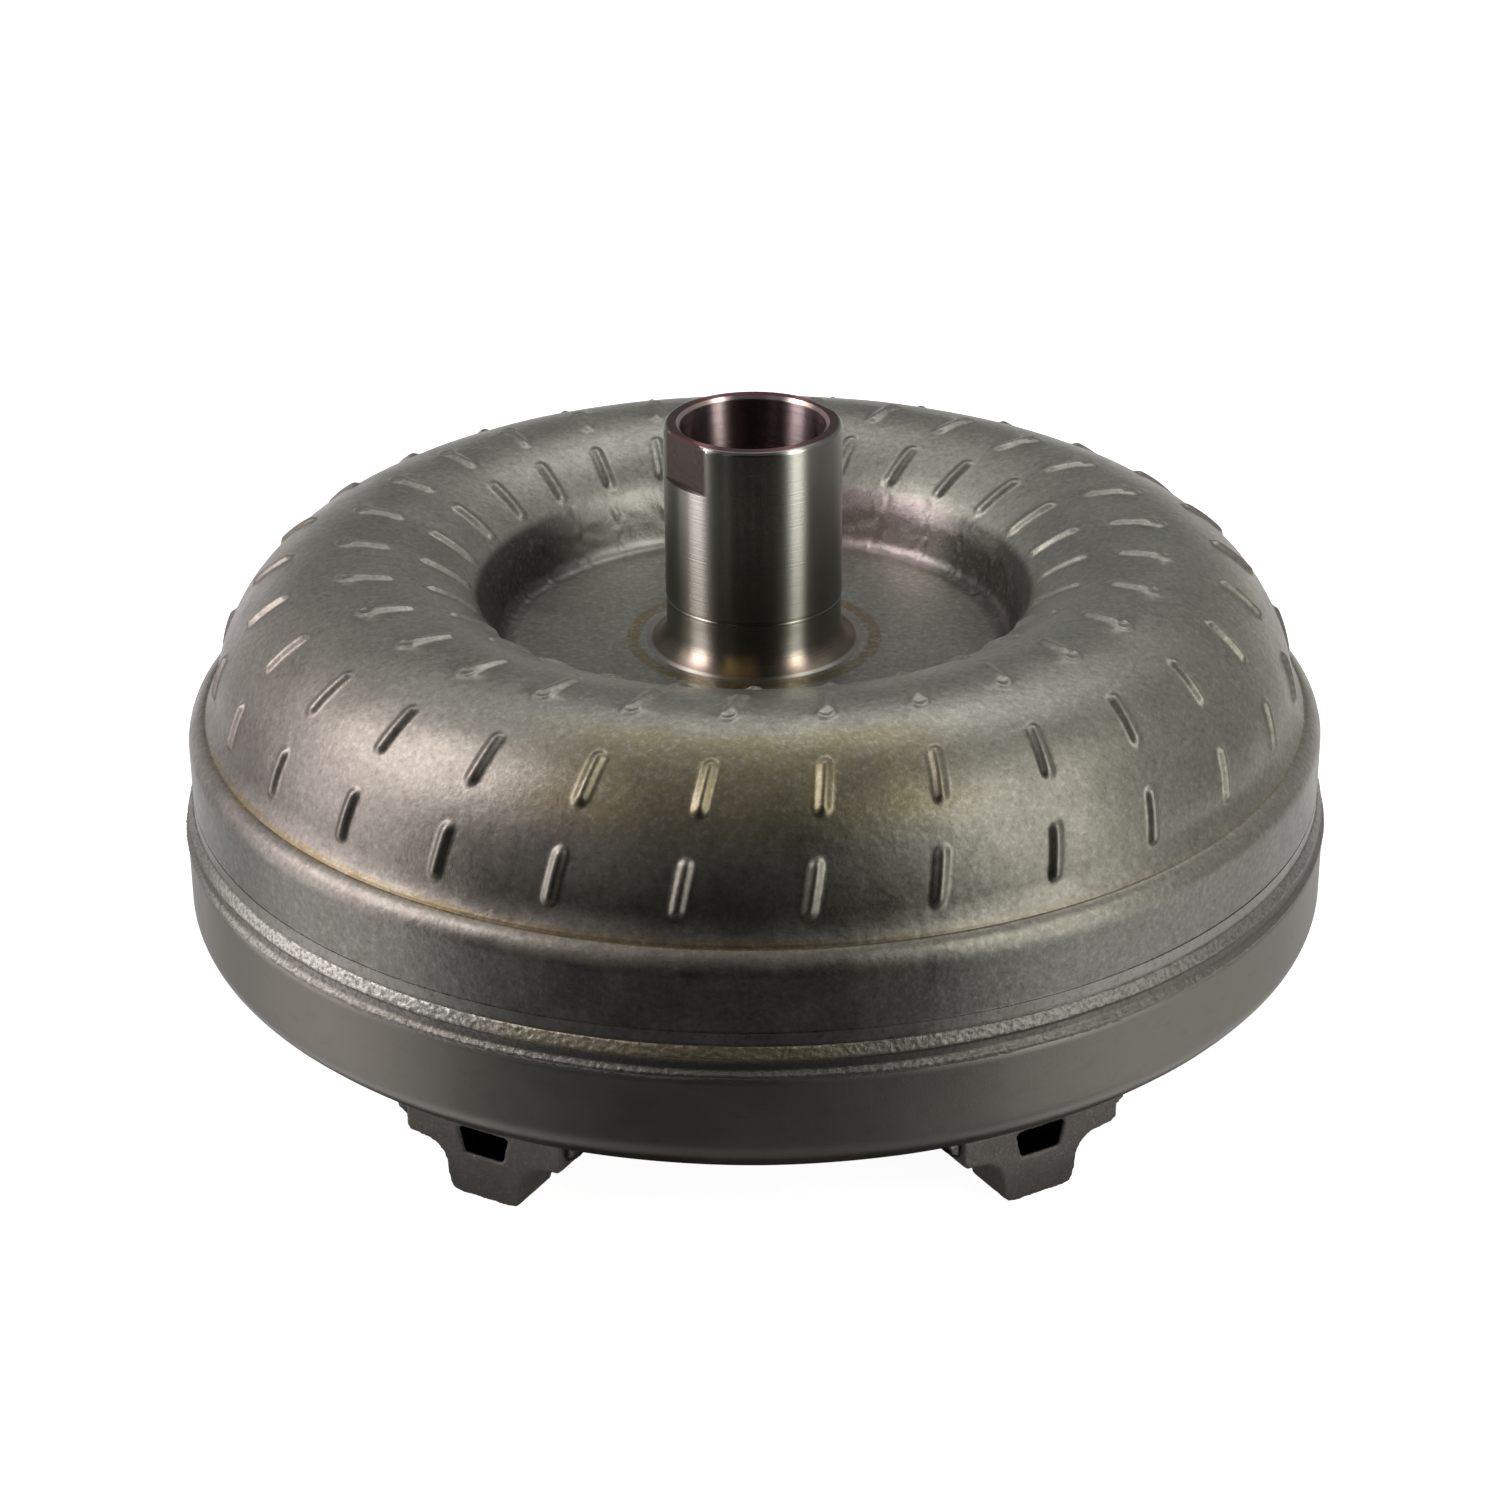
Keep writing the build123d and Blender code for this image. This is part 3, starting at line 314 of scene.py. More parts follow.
# ---------------------------------------------------------------- materials
def shell_paint():
    """Pressed steel: heat tints by height and radius over a satin, finely mottled grain, with painted shade,
    painted highlights and a painted reflection tint.
    """
    s = Steel("shell_steel_paint")
    clouds = s.noise(60, 3, 0.6)
    blotches = s.noise(14, 4, 0.65)
    mottle = s.noise(1.6, 4, 0.75)
    # towards the left the outer ring is painted brown-purple: partly the film's tone, partly a painted
    # reflection of the warm light on that side
    left = s.smooth(s.azimuth, 20, -60)
    outer = s.smooth(s.radius, 108, 132)
    color = s.mix(clouds, (0.37, 0.37, 0.32), (0.42, 0.415, 0.37))
    brown = s.mix(left, (0.40, 0.377, 0.32), (0.415, 0.368, 0.343))
    color = s.mix(outer, color, brown)
    ring = s.band(s.radius, 116, 131, 7)
    high = s.smooth(s.z, 96, 106)
    front = s.band(s.azimuth, -14, 12, 16)
    gold = s.times(ring, high, s.plus(s.times(front, 0.8), 0.06), s.smooth(blotches, 0.2, 0.75, 0.6, 1.0))
    color = s.mix(gold, color, (0.36, 0.30, 0.155))
    skirt = s.smooth(s.z, 82, 76)
    color = s.mix(skirt, color, (0.375, 0.363, 0.34))
    machined = s.band(s.z, 61.2, 64.0, 0.3)
    color = s.mix(s.times(machined, 0.6), color, (0.55, 0.53, 0.50))
    # a darker gold line along the crease at the torus's foot, strongest on the front-left: partly heat tint,
    # partly painted shade in the crease
    crease = s.band(s.z, 83.7, 84.9, 0.4)
    crease_on = s.times(crease, s.smooth(s.radius, 139, 142), s.smooth(blotches, 0.25, 0.7, 0.5, 1.0))
    crease_on = s.times(crease_on, s.plus(s.times(s.band(s.azimuth, -58, -4, 26), 0.6), 0.2))
    color = s.mix(crease_on, color, (0.40, 0.30, 0.14))
    color = s.mix(s.times(s.smooth(s.radius, 66, 60), 0.9), color, (0.325, 0.325, 0.285))
    # the recess wall is painted lighter, a painted highlight that stays only at its back
    wall = s.times(s.band(s.radius, 64.5, 72, 3), s.band(s.z, 99, 112, 3))
    color = s.mix(s.times(wall, 0.5), color, (0.47, 0.46, 0.42))
    # painted shade: the recess wall is painted near black on its sides, all round except the back
    beside = s.smooth(s.math("ABSOLUTE", s.azimuth), 148, 122)
    color = s.mix(s.times(wall, beside, 0.95), color, (0.07, 0.065, 0.06))
    # painted highlight: a rosy patch on the back of the recess wall
    painted_pink_highlight = s.times(wall, s.band(s.azimuth, 142, 170, 16))
    color = s.mix(s.times(painted_pink_highlight, 0.8), color, (0.47, 0.385, 0.385))
    heat = s.times(s.band(s.radius, 30.4, 33.0, 0.9), s.smooth(blotches, 0.3, 0.7, 0.6, 0.9))
    color = s.mix(heat, color, (0.25, 0.20, 0.10))
    stain = s.smooth(s.noise(32, 5, 0.7, distortion=1.0), 0.45, 0.72)
    color = s.mix(s.times(stain, 0.35), color, (0.29, 0.265, 0.225))
    even = s.smooth(wall, 0.0, 1.0, 0.42, 0.15)
    color = s.mix(s.times(s.smooth(mottle, 0.5, 0.66), even), color, (0.62, 0.60, 0.55))
    color = s.mix(s.times(s.smooth(mottle, 0.48, 0.34), even), color, (0.20, 0.185, 0.16))
    rough = s.smooth(blotches, 0.25, 0.75, 0.34, 0.44)
    grain = s.noise(1.1, 4, 0.65)
    orange_peel = s.noise(4.5, 2, 0.5)
    pits = s.times(s.noise(1.7, 4, 0.65), wall)
    lathe = s.times(s.turning(0.9), s.smooth(s.radius, 64, 60))
    return s.finish(color, rough, (grain, 0.055), (orange_peel, 0.11), (pits, 0.12), (lathe, 0.02))


def hub_paint():
    """Ground journal above a turned neck, heat coloured at the rim, the bore and the base; painted shade low
    down, a painted glint and a painted highlight at the flare's edge.
    """
    s = Steel("hub_steel_paint", Anisotropic=1.0, Anisotropic_Rotation=0.25)
    tangent = s.node("Tangent", direction_type="RADIAL", axis="Z").outputs[0]
    s.tree.links.new(tangent, s.shader.inputs["Tangent"])
    blotches = s.noise(9, 4, 0.6)
    color = s.mix(blotches, (0.29, 0.28, 0.255), (0.35, 0.345, 0.315))
    # painted shade: the hub is painted darker downwards, towards its root at the plate
    color = s.mix(s.smooth(s.z, 152.0, 106.0, 0.0, 0.75), color, (0.16, 0.15, 0.12))
    bore = s.smooth(s.radius, HUB_BORE_R + 0.85, HUB_BORE_R + 0.25)
    color = s.mix(bore, color, (0.27, 0.21, 0.21))
    rim_edge = HUB_R - EDGE_BREAK
    rim_foot = HUB_TOP - 1.1
    rim = s.times(s.smooth(s.radius, rim_edge + 0.1, rim_edge - 0.1), s.smooth(s.z, rim_foot, rim_foot + 0.4))
    color = s.mix(rim, color, (0.19, 0.095, 0.095))
    chamfer = s.times(s.band(s.radius, HUB_BORE_R + 0.2, HUB_BORE_R + 0.9, 0.1),
                      s.smooth(s.z, rim_foot, rim_foot + 0.2))
    color = s.mix(chamfer, color, (0.60, 0.46, 0.43))
    ledge = HUB_TOP - FLAT_DEPTH
    flat_height = s.times(s.smooth(s.z, ledge - 0.4, ledge + 0.2), s.smooth(s.z, rim_foot + 0.5, rim_foot))
    flat = s.times(flat_height, s.smooth(s.radius, HUB_R - 0.1, HUB_R - 0.6),
                   s.smooth(s.radius, FLAT_HALF - 0.8, FLAT_HALF - 0.2))
    color = s.mix(s.times(flat, 0.9), color, (0.13, 0.095, 0.09))
    base = s.smooth(s.z, 104.0, 99.5)
    color = s.mix(s.times(base, s.smooth(blotches, 0.3, 0.65, 0.25, 0.6)), color, (0.32, 0.23, 0.18))
    glint = s.times(base, s.band(s.azimuth, -14, -4, 10))
    color = s.mix(glint, color, (0.68, 0.50, 0.22))
    # painted highlight: a bright ring along the outer edge of the flared base
    lit_lip_highlight = s.times(s.smooth(s.z, 99.2, 98.6), s.smooth(s.radius, 26.5, 27.2))
    color = s.mix(s.times(lit_lip_highlight, 0.6), color, (0.72, 0.70, 0.64))
    scratches = s.turning(0.5)
    rough = s.plus(s.smooth(s.z, 104.0, 108.0, 0.29, 0.24), s.times(scratches, 0.12))
    grooves = s.times(scratches, s.smooth(s.z, 104.0, 108.0, 1.0, 0.5))
    return s.finish(color, rough, (grooves, 0.12))


def weld_paint():
    """Weld bead: bright crackled crests with a painted highlight on the left, a dark oxide hollow, painted
    shade on the bottom bead, calmer beads low on the cover.
    """
    s = Steel("weld_metal_paint")
    crackle = s.noise(1.0, 4, 0.65)
    clouds = s.noise(22, 2)
    girth = s.smooth(s.z, 40, 45)
    edge = s.plus(s.z, s.times(s.plus(s.noise(1.6, 3), -0.5), 1.2))
    hollow = s.times(girth, s.band(edge, 54.9, 57.1, 0.5))
    oxide = s.times(s.smooth(crackle, 0.54, 0.42), s.smooth(girth, 0.0, 1.0, 0.4, 0.6))
    # painted highlight: the girth weld is painted bright over a stretch on the left
    bright = s.times(girth, s.band(s.azimuth, -56, -18, 16))
    light = s.mix(clouds, (0.38, 0.365, 0.34), (0.43, 0.42, 0.385))
    light = s.mix(bright, light, (0.74, 0.72, 0.68))
    light = s.mix(s.smooth(s.z, 45, 40), light, (0.33, 0.315, 0.29))
    color = s.mix(oxide, light, (0.22, 0.195, 0.17))
    color = s.mix(s.times(hollow, 0.6), color, (0.18, 0.165, 0.15))
    # painted shade: the girth weld's bottom bead is painted darker, least on the left where the light falls
    lower_bead_shade = s.times(girth, s.smooth(edge, 55.2, 54.7), s.smooth(s.azimuth, -62, -30, 0.35, 0.75))
    color = s.mix(lower_bead_shade, color, (0.25, 0.23, 0.205))
    straw = s.times(girth, s.smooth(edge, 56.8, 57.3), s.band(s.azimuth, -18, 2, 12))
    color = s.mix(s.times(straw, 0.45), color, (0.62, 0.50, 0.24))
    rough = s.smooth(crackle, 0.3, 0.7, 0.5, 0.4)
    crests = s.times(crackle, s.smooth(hollow, 0.0, 1.0, 1.0, 0.25))
    return s.finish(color, rough, (crests, 0.16), (s.noise(0.35, 2), 0.01))


def cover_paint():
    """Rolled and pressed cover with a dull brown-grey film and a painted highlight round its outer bend."""
    s = Steel("cover_steel_paint")
    clouds = s.noise(45, 4, 0.6)
    streaks = s.noise(3.0, 4, 0.7, stretch=(2, 2, 1))
    color = s.mix(clouds, (0.31, 0.292, 0.262), (0.38, 0.358, 0.325))
    color = s.mix(s.times(s.smooth(streaks, 0.5, 0.75), 0.4), color, (0.27, 0.25, 0.22))
    # painted highlight: a lighter band round the cover's outer bend
    painted_bend_highlight = s.times(s.band(s.z, 20, 27, 3), s.smooth(s.radius, 130, 138))
    color = s.mix(s.times(painted_bend_highlight, 0.5), color, (0.48, 0.45, 0.41))
    rough = s.smooth(clouds, 0.3, 0.7, 0.42, 0.5)
    grain = s.noise(0.6, 3, 0.6)
    return s.finish(color, rough, (grain, 0.03), (s.noise(7, 2), 0.05), (s.turning(1.1), 0.006))


def lug_paint():
    """Dark grainy forging skin, painted near black as shade inside each lug's window and hole."""
    s = Steel("lug_steel_paint", metallic=0.85)
    blotches = s.noise(6, 4, 0.65)
    skin = s.noise(0.8, 4, 0.7)
    color = s.mix(blotches, (0.16, 0.145, 0.13), (0.26, 0.245, 0.225))
    color = s.mix(s.times(s.smooth(skin, 0.52, 0.7), 0.45), color, (0.42, 0.40, 0.37))
    folded = s.math("WRAP", s.plus(s.azimuth, -LUG_AZIMUTH), LUG_STEP / 2)
    folded.node.inputs[2].default_value = -LUG_STEP / 2
    out = s.times(s.radius, s.math("COSINE", s.times(folded, math.radians(1))))
    across = s.math("ABSOLUTE", s.times(s.radius, s.math("SINE", s.times(folded, math.radians(1)))))
    behind_face = s.smooth(out, LUG_FACE - 0.3, LUG_FACE - 0.9)
    window = s.times(s.band(s.z, 11.7, 19.3, 0.3), s.smooth(across, 7.9, 7.4), behind_face)
    from_hole = s.math("ABSOLUTE", s.plus(out, LUG_DEPTH / 2 - LUG_FACE))
    hole = s.times(s.smooth(s.z, 0.3, 1.0), s.smooth(across, 4.8, 4.5), s.smooth(from_hole, 4.8, 4.5))
    # painted shade: each lug's window and hole are painted near black
    color = s.mix(s.math("MAXIMUM", window, hole), color, (0.005, 0.005, 0.004))
    rough = s.smooth(skin, 0.3, 0.7, 0.62, 0.48)
    return s.finish(color, rough, (skin, 0.13), (s.noise(3, 2), 0.1))


def turned_paint(name, low, high, pitch=0.4, depth=0.01, rough_range=(0.25, 0.36), metallic=1.0):
    """Machined steel with lathe lines and a faint oil film."""
    s = Steel(name, metallic=metallic)
    film = s.noise(12, 3, 0.6)
    lines = s.turning(pitch)
    color = s.mix(film, low, high)
    rough = s.smooth(lines, 0.3, 0.7, *rough_range)
    return s.finish(color, rough, (lines, depth), (s.noise(0.5, 2), 0.004))


def rolled_paint(name, low, high, grain=0.7, depth=0.02, rough_range=(0.3, 0.45), metallic=1.0):
    """Sheet, wire or cast alloy with an even fine grain."""
    s = Steel(name, metallic=metallic)
    film = s.noise(15, 4, 0.6)
    fine = s.noise(grain, 3, 0.6)
    color = s.mix(film, low, high)
    rough = s.smooth(film, 0.3, 0.7, *rough_range)
    return s.finish(color, rough, (fine, depth))


def paper_paint():
    """Friction paper: matt, fibrous and brown."""
    s = Steel("friction_paper_paint", metallic=0.0, Specular_IOR_Level=0.25)
    fibres = s.noise(0.35, 5, 0.7, stretch=(3, 1, 1))
    color = s.mix(fibres, (0.10, 0.055, 0.03), (0.22, 0.14, 0.085))
    return s.finish(color, s.smooth(fibres, 0.3, 0.7, 0.85, 0.95), (fibres, 0.08))


def seal_paint():
    s = Steel("seal_paint", metallic=0.0)
    skin = s.noise(0.4, 3)
    color = s.mix(s.noise(8, 2), (0.015, 0.015, 0.016), (0.03, 0.028, 0.027))
    return s.finish(color, s.smooth(skin, 0.3, 0.7, 0.38, 0.5), (skin, 0.01))


PAINTS = {
    "shell_steel": shell_paint(),
    "hub_steel": hub_paint(),
    "weld_metal": weld_paint(),
    "cover_steel": cover_paint(),
    "pilot_steel": turned_paint("pilot_steel_paint", (0.42, 0.40, 0.36), (0.52, 0.50, 0.46), 0.5, 0.015),
    "lug_steel": lug_paint(),
    "blade_steel": rolled_paint("blade_steel_paint", (0.40, 0.39, 0.36), (0.50, 0.49, 0.46)),
    "turned_steel": turned_paint("turned_steel_paint", (0.48, 0.47, 0.44), (0.58, 0.57, 0.54)),
    "damper_steel": rolled_paint("damper_steel_paint", (0.34, 0.33, 0.32), (0.44, 0.42, 0.40)),
    "spring_steel": rolled_paint("spring_steel_paint", (0.22, 0.22, 0.24), (0.32, 0.32, 0.34), 0.4, 0.01),
    "friction_paper": paper_paint(),
    "seal": seal_paint(),
    "stator_alloy": rolled_paint("stator_alloy_paint", (0.62, 0.62, 0.62), (0.75, 0.75, 0.74), 1.2, 0.06),
    "bearing_steel": turned_paint("bearing_steel_paint", (0.56, 0.56, 0.56), (0.66, 0.66, 0.65), 0.3, 0.004,
                                  (0.12, 0.2)),
}

node_slots = {part["node"]: part["material_slot"] for part in frame["record"]["subparts"]}


# ---------------------------------------------------------------- impeller shell
def shell_outline():
    """Outer surface from the hub seat to the foot of the skirt, and the crease on it."""
    roll_centre = polar(TORUS_SECTION_R - ROLL_R, ROLL_START, TORUS_CENTRE)
    wall_end = 90 + WALL_SLOPE
    wall_top = polar(ROLL_R, wall_end, roll_centre)
    corner_r = wall_top[0] - (wall_top[1] - PLATE_TOP) / math.tan(math.radians(WALL_SLOPE))
    tangent = FILLET_R * math.tan(math.radians(WALL_SLOPE / 2))
    fillet_centre = (corner_r - tangent, PLATE_TOP + FILLET_R)
    flare_centre = polar(TORUS_SECTION_R + FLARE_R, FLARE_START, TORUS_CENTRE)
    flare_start = 180 + FLARE_START
    crease = polar(FLARE_R, flare_start + FLARE_TURN, flare_centre)
    shoulder_cos = math.cos(math.radians(SHOULDER_START))
    shoulder_r = (SKIRT_R - crease[0]) / (1 - shoulder_cos)
    shoulder_z = crease[1] - shoulder_r * math.sin(math.radians(SHOULDER_START))
    dense = 400
    surface = outline(
        line((HUB_BASE_R, PLATE_TOP), (fillet_centre[0], PLATE_TOP), dense),
        arc(fillet_centre, FILLET_R, -90, WALL_SLOPE - 90, dense),
        line(polar(FILLET_R, WALL_SLOPE - 90, fillet_centre), wall_top, dense),
        arc(roll_centre, ROLL_R, wall_end, ROLL_START, dense),
        arc(TORUS_CENTRE, TORUS_SECTION_R, ROLL_START, FLARE_START, 4 * dense),
        arc(flare_centre, FLARE_R, flare_start, flare_start + FLARE_TURN, dense),
        arc((SKIRT_R - shoulder_r, shoulder_z), shoulder_r, SHOULDER_START, 0, dense),
        line((SKIRT_R, shoulder_z), (SKIRT_R, GROOVE_TOP + 0.3), dense),
    )
    return surface, crease


def bump_ends(along, dense):
    """Each row's name with the profile lengths and azimuths of its two ends."""
    found = {}
    for name, ends in BUMP_ROWS.items():
        places = [along[np.argmin(np.hypot(dense[:, 0] - r, dense[:, 1] - z))] for r, z, _ in ends]
        found[name] = (places, [azimuth for _, _, azimuth in ends])
    return found


def shell_rows(dense, along, ends, crease_along):
    """Profile lengths of the mesh rows, closer where the surface turns or an embossing ends."""
    spacing = np.full(len(dense), 1.9)
    for places, _ in ends.values():
        for place in places:
            spacing[np.abs(along - place) < 2.7] = 0.62
    spacing[dense[:, 0] < 60] = 4.5
    wall = (dense[:, 0] > 61) & (dense[:, 0] < 70)
    spacing[wall] = 0.9
    neck = (dense[:, 0] > 140.5) & (dense[:, 1] < 89) & (dense[:, 1] > 76)
    spacing[neck] = 0.75
    spacing[np.abs(along - crease_along) < 1.2] = 0.25
    spacing[dense[:, 1] < 76] = 3.0
    counted = np.concatenate(([0.0], np.cumsum(np.diff(along) / spacing[1:])))
    return np.interp(np.linspace(0, counted[-1], int(counted[-1]) + 1), counted, along)


def shell_piece():
    dense, crease = shell_outline()
    along = lengths(dense)
    crease_along = along[np.argmin(np.hypot(dense[:, 0] - crease[0], dense[:, 1] - crease[1]))]
    ends = bump_ends(along, dense)
    rows = shell_rows(dense, along, ends, crease_along)
    points = np.column_stack((np.interp(rows, along, dense[:, 0]), np.interp(rows, along, dense[:, 1])))
    normals = profile_normals(points)

    # the embossings lean with radius, so the columns lean with them
    stations = sorted(station for places, azimuths in ends.values() for station in zip(places, azimuths))
    lean = np.interp(rows, *zip(*stations))
    period = 2 * math.pi * points[:, 0] / BLADES
    half = np.array((0.45, 0.9, 1.25, 1.6, 1.95, 2.4, 3.1))
    fine = np.concatenate((-half[::-1], (0.0,), half))
    squeeze = np.minimum(1.0, 0.42 * period / half[-1])
    offsets = fine[None, :] * squeeze[:, None]
    gap = period - 2 * half[-1] * squeeze
    between = half[-1] * squeeze[:, None] + gap[:, None] * np.array((0.25, 0.5, 0.75))[None, :]
    offsets = np.concatenate((offsets, between), axis=1)
    steps = 360.0 / BLADES
    azimuth = np.concatenate(
        [lean[:, None] + np.degrees(offsets / points[:, :1]) + k * steps for k in range(BLADES)], axis=1)
    aside = np.tile(offsets, (1, BLADES))

    lift = np.zeros_like(aside)
    for name, (places, _) in ends.items():
        first, last = min(places) + BUMP_END, max(places) - BUMP_END
        beyond = np.maximum(np.maximum(first - rows, rows - last), 0)[:, None]
        away = np.hypot(aside, beyond)
        lift += BUMP_HEIGHTS[name] * (1 - smoothstep(BUMP_FLAT, BUMP_FOOT, away))
        lift -= 0.1 * np.exp(-(away / 4.6) ** 2)
        if name == "crown":
            from_end = np.hypot(aside, (rows - last)[:, None])
            lift -= 0.45 * np.exp(-(from_end / 1.0) ** 2)
            lift += 0.45 * np.exp(-((from_end - 2.0) / 0.6) ** 2)
    rng = np.random.default_rng(29)
    uneven = ring_noise(rng, azimuth, rows[:, None], 24, 22, 0.12)
    pressed = smoothstep(70, 95, points[:, :1]) * smoothstep(66, 90, points[:, 1:])
    lift += 0.035 * uneven * pressed
    half_w, depth = CREASE_GROOVE
    lift -= depth * np.exp(-((rows - crease_along) / half_w) ** 2)[:, None]
    wall = smoothstep(63, 66, points[:, :1]) * (1 - smoothstep(71, 74, points[:, :1]))
    hammered = ring_noise(rng, azimuth, rows[:, None], 60, 160, 1.6)
    lift += 0.07 * hammered * wall

    foot = outline(
        line((SKIRT_R, GROOVE_TOP), (SKIRT_R - GROOVE_D, GROOVE_TOP - 0.05)),
        line((SKIRT_R - GROOVE_D, GROOVE_TOP - GROOVE_W + 0.05), (SKIRT_R, GROOVE_TOP - GROOVE_W)),
        line((SKIRT_R, GROOVE_TOP - 1.5), (SKIRT_R, SKIRT_BOTTOM + 0.5), 5),
        line((SKIRT_R - 0.5, SKIRT_BOTTOM), (SKIRT_R - SHELL_T, SKIRT_BOTTOM)),
    )
    inner_pick = np.linspace(0, len(points) - 1, 26).astype(int)[::-1]
    inner = points[inner_pick] - normals[inner_pick] * SHELL_T
    inner[-1, 0] = HUB_BASE_R
    plain = np.concatenate((foot, inner))
    plain_lean = np.concatenate((np.full(len(foot), lean[-1]), lean[inner_pick]))

    radius = points[:, :1] + normals[:, :1] * lift
    height = points[:, 1:] + normals[:, 1:] * lift
    shape = (len(plain), azimuth.shape[1])
    spread = np.tile(offsets[-1] / points[-1, 0], BLADES)[None, :]
    turns = np.repeat(np.arange(BLADES) * steps, offsets.shape[1])[None, :]
    plain_azimuth = plain_lean[:, None] + np.degrees(spread) + turns
    return ring_mesh(
        "impeller_shell_detail",
        np.concatenate((radius, np.broadcast_to(plain[:, :1], shape))),
        np.concatenate((height, np.broadcast_to(plain[:, 1:], shape))),
        np.concatenate((azimuth, plain_azimuth)),
    )


# ---------------------------------------------------------------- hub, cover, pilot and welds
def hub_piece():
    """Pump drive hub with its two flats, the turned neck and the flared base."""
    flare = HUB_BASE_R - HUB_TURNED_R
    ledge = HUB_TOP - FLAT_DEPTH
    plate_low = PLATE_TOP - SHELL_T
    top_break = 0.6
    points = outline(
        line((HUB_BORE_R, HUB_BOTTOM + EDGE_BREAK), (HUB_BORE_R, HUB_TOP - EDGE_BREAK), 24),
        line((HUB_BORE_R + EDGE_BREAK, HUB_TOP), (HUB_R - EDGE_BREAK, HUB_TOP)),
        line((HUB_R - top_break, HUB_TOP - 0.15), (HUB_R - 0.15, HUB_TOP - top_break)),
        line((HUB_R, HUB_TOP - EDGE_BREAK), (HUB_R, ledge + 0.05), 6),
        line((HUB_R, ledge), (HUB_R, HUB_TURNED_TOP + 0.25), 16),
        line((HUB_R - 0.2, HUB_TURNED_TOP), (HUB_TURNED_R - 0.25, HUB_TURNED_TOP - 0.25)),
        line((HUB_TURNED_R - 0.25, HUB_TURNED_TOP - 0.6), (HUB_TURNED_R, HUB_TURNED_TOP - 0.85)),
        line((HUB_TURNED_R, HUB_TURNED_TOP - 2), (HUB_TURNED_R, PLATE_TOP + flare), 4),
        arc((HUB_BASE_R, PLATE_TOP + flare), flare, 180, 270, 14),
        line((HUB_BASE_R, plate_low), (HUB_FLANGE_R, plate_low), 2),
        line((HUB_FLANGE_R, HUB_BOTTOM), (HUB_BORE_R + EDGE_BREAK, HUB_BOTTOM), 4),
    )
    half_angle = math.degrees(math.acos(FLAT_HALF / HUB_R))
    edges = [a + side * half_angle for a in FLAT_AZIMUTHS for side in (-1, 1)]
    columns = np.unique(np.round(np.concatenate((np.arange(-180, 180, 1.25), edges)), 3))
    radius = np.repeat(points[:, :1], len(columns), axis=1)
    above = points[:, 1] > ledge + 0.01
    for flat in FLAT_AZIMUTHS:
        turn = (columns - flat + 180) % 360 - 180
        limit = np.where(np.abs(turn) < 80, FLAT_HALF / np.cos(np.radians(np.clip(turn, -80, 80))), 1e3)
        radius[above] = np.minimum(radius[above], limit[None, :])
    return ring_mesh("pump_hub_detail", radius, points[:, 1:], columns[None, :])


def closure_weld_piece():
    """Girth weld: a crackled bead, a smoother hollow and a narrow bead on the cover's edge."""
    rng = np.random.default_rng(7)
    points = outline(
        line((SKIRT_R - 0.3, WELD_TOP + 0.2), (SKIRT_R - 0.05, WELD_TOP)),
        line((SKIRT_R + 0.35, WELD_TOP - 0.1), (SKIRT_R + 1.5, WELD_TOP - 2.6), 7),
        arc((SKIRT_R + 1.1, WELD_TOP - 2.8), 0.4, 15, -50, 3),
        line((SKIRT_R + 1.15, WELD_TOP - 3.6), (SKIRT_R + 1.3, WELD_TOP - 5.5), 5),
        arc((WELD_R - 0.95, COVER_TOP + 0.45), 0.85, 62, -55, 8),
        line((WELD_R - 0.6, COVER_TOP - 0.7), (COVER_R - 0.2, COVER_TOP - 1.0)),
        line((SKIRT_R - 0.3, COVER_TOP), (SKIRT_R - 0.3, WELD_TOP - 2), 3),
    )
    columns = np.linspace(-180, 180, 1680, endpoint=False)
    along = lengths(points)[:, None]
    height = points[:, 1:]
    normals = profile_normals(points)
    crackle = ring_noise(rng, columns[None, :], along, 90, 620, 5.0)
    swell = ring_noise(rng, columns[None, :], along, 14, 40, 0.8)
    patches = smoothstep(-0.8, 1.0, ring_noise(rng, columns[None, :], along * 0, 8, 9, 0.1))
    outside = smoothstep(0.2, 1.0, along) * (1 - smoothstep(9.5, 10.5, along))
    hollow = smoothstep(54.3, 55.1, height) * (1 - smoothstep(57.0, 57.8, height))
    lift = outside * (0.06 * crackle * (0.4 + 0.6 * patches) * (1 - 0.75 * hollow) + 0.05 * swell)
    radius = np.minimum(points[:, :1] + normals[:, :1] * lift, WELD_R)
    return ring_mesh("closure_weld_detail", radius, height + normals[:, 1:] * lift, columns[None, :])


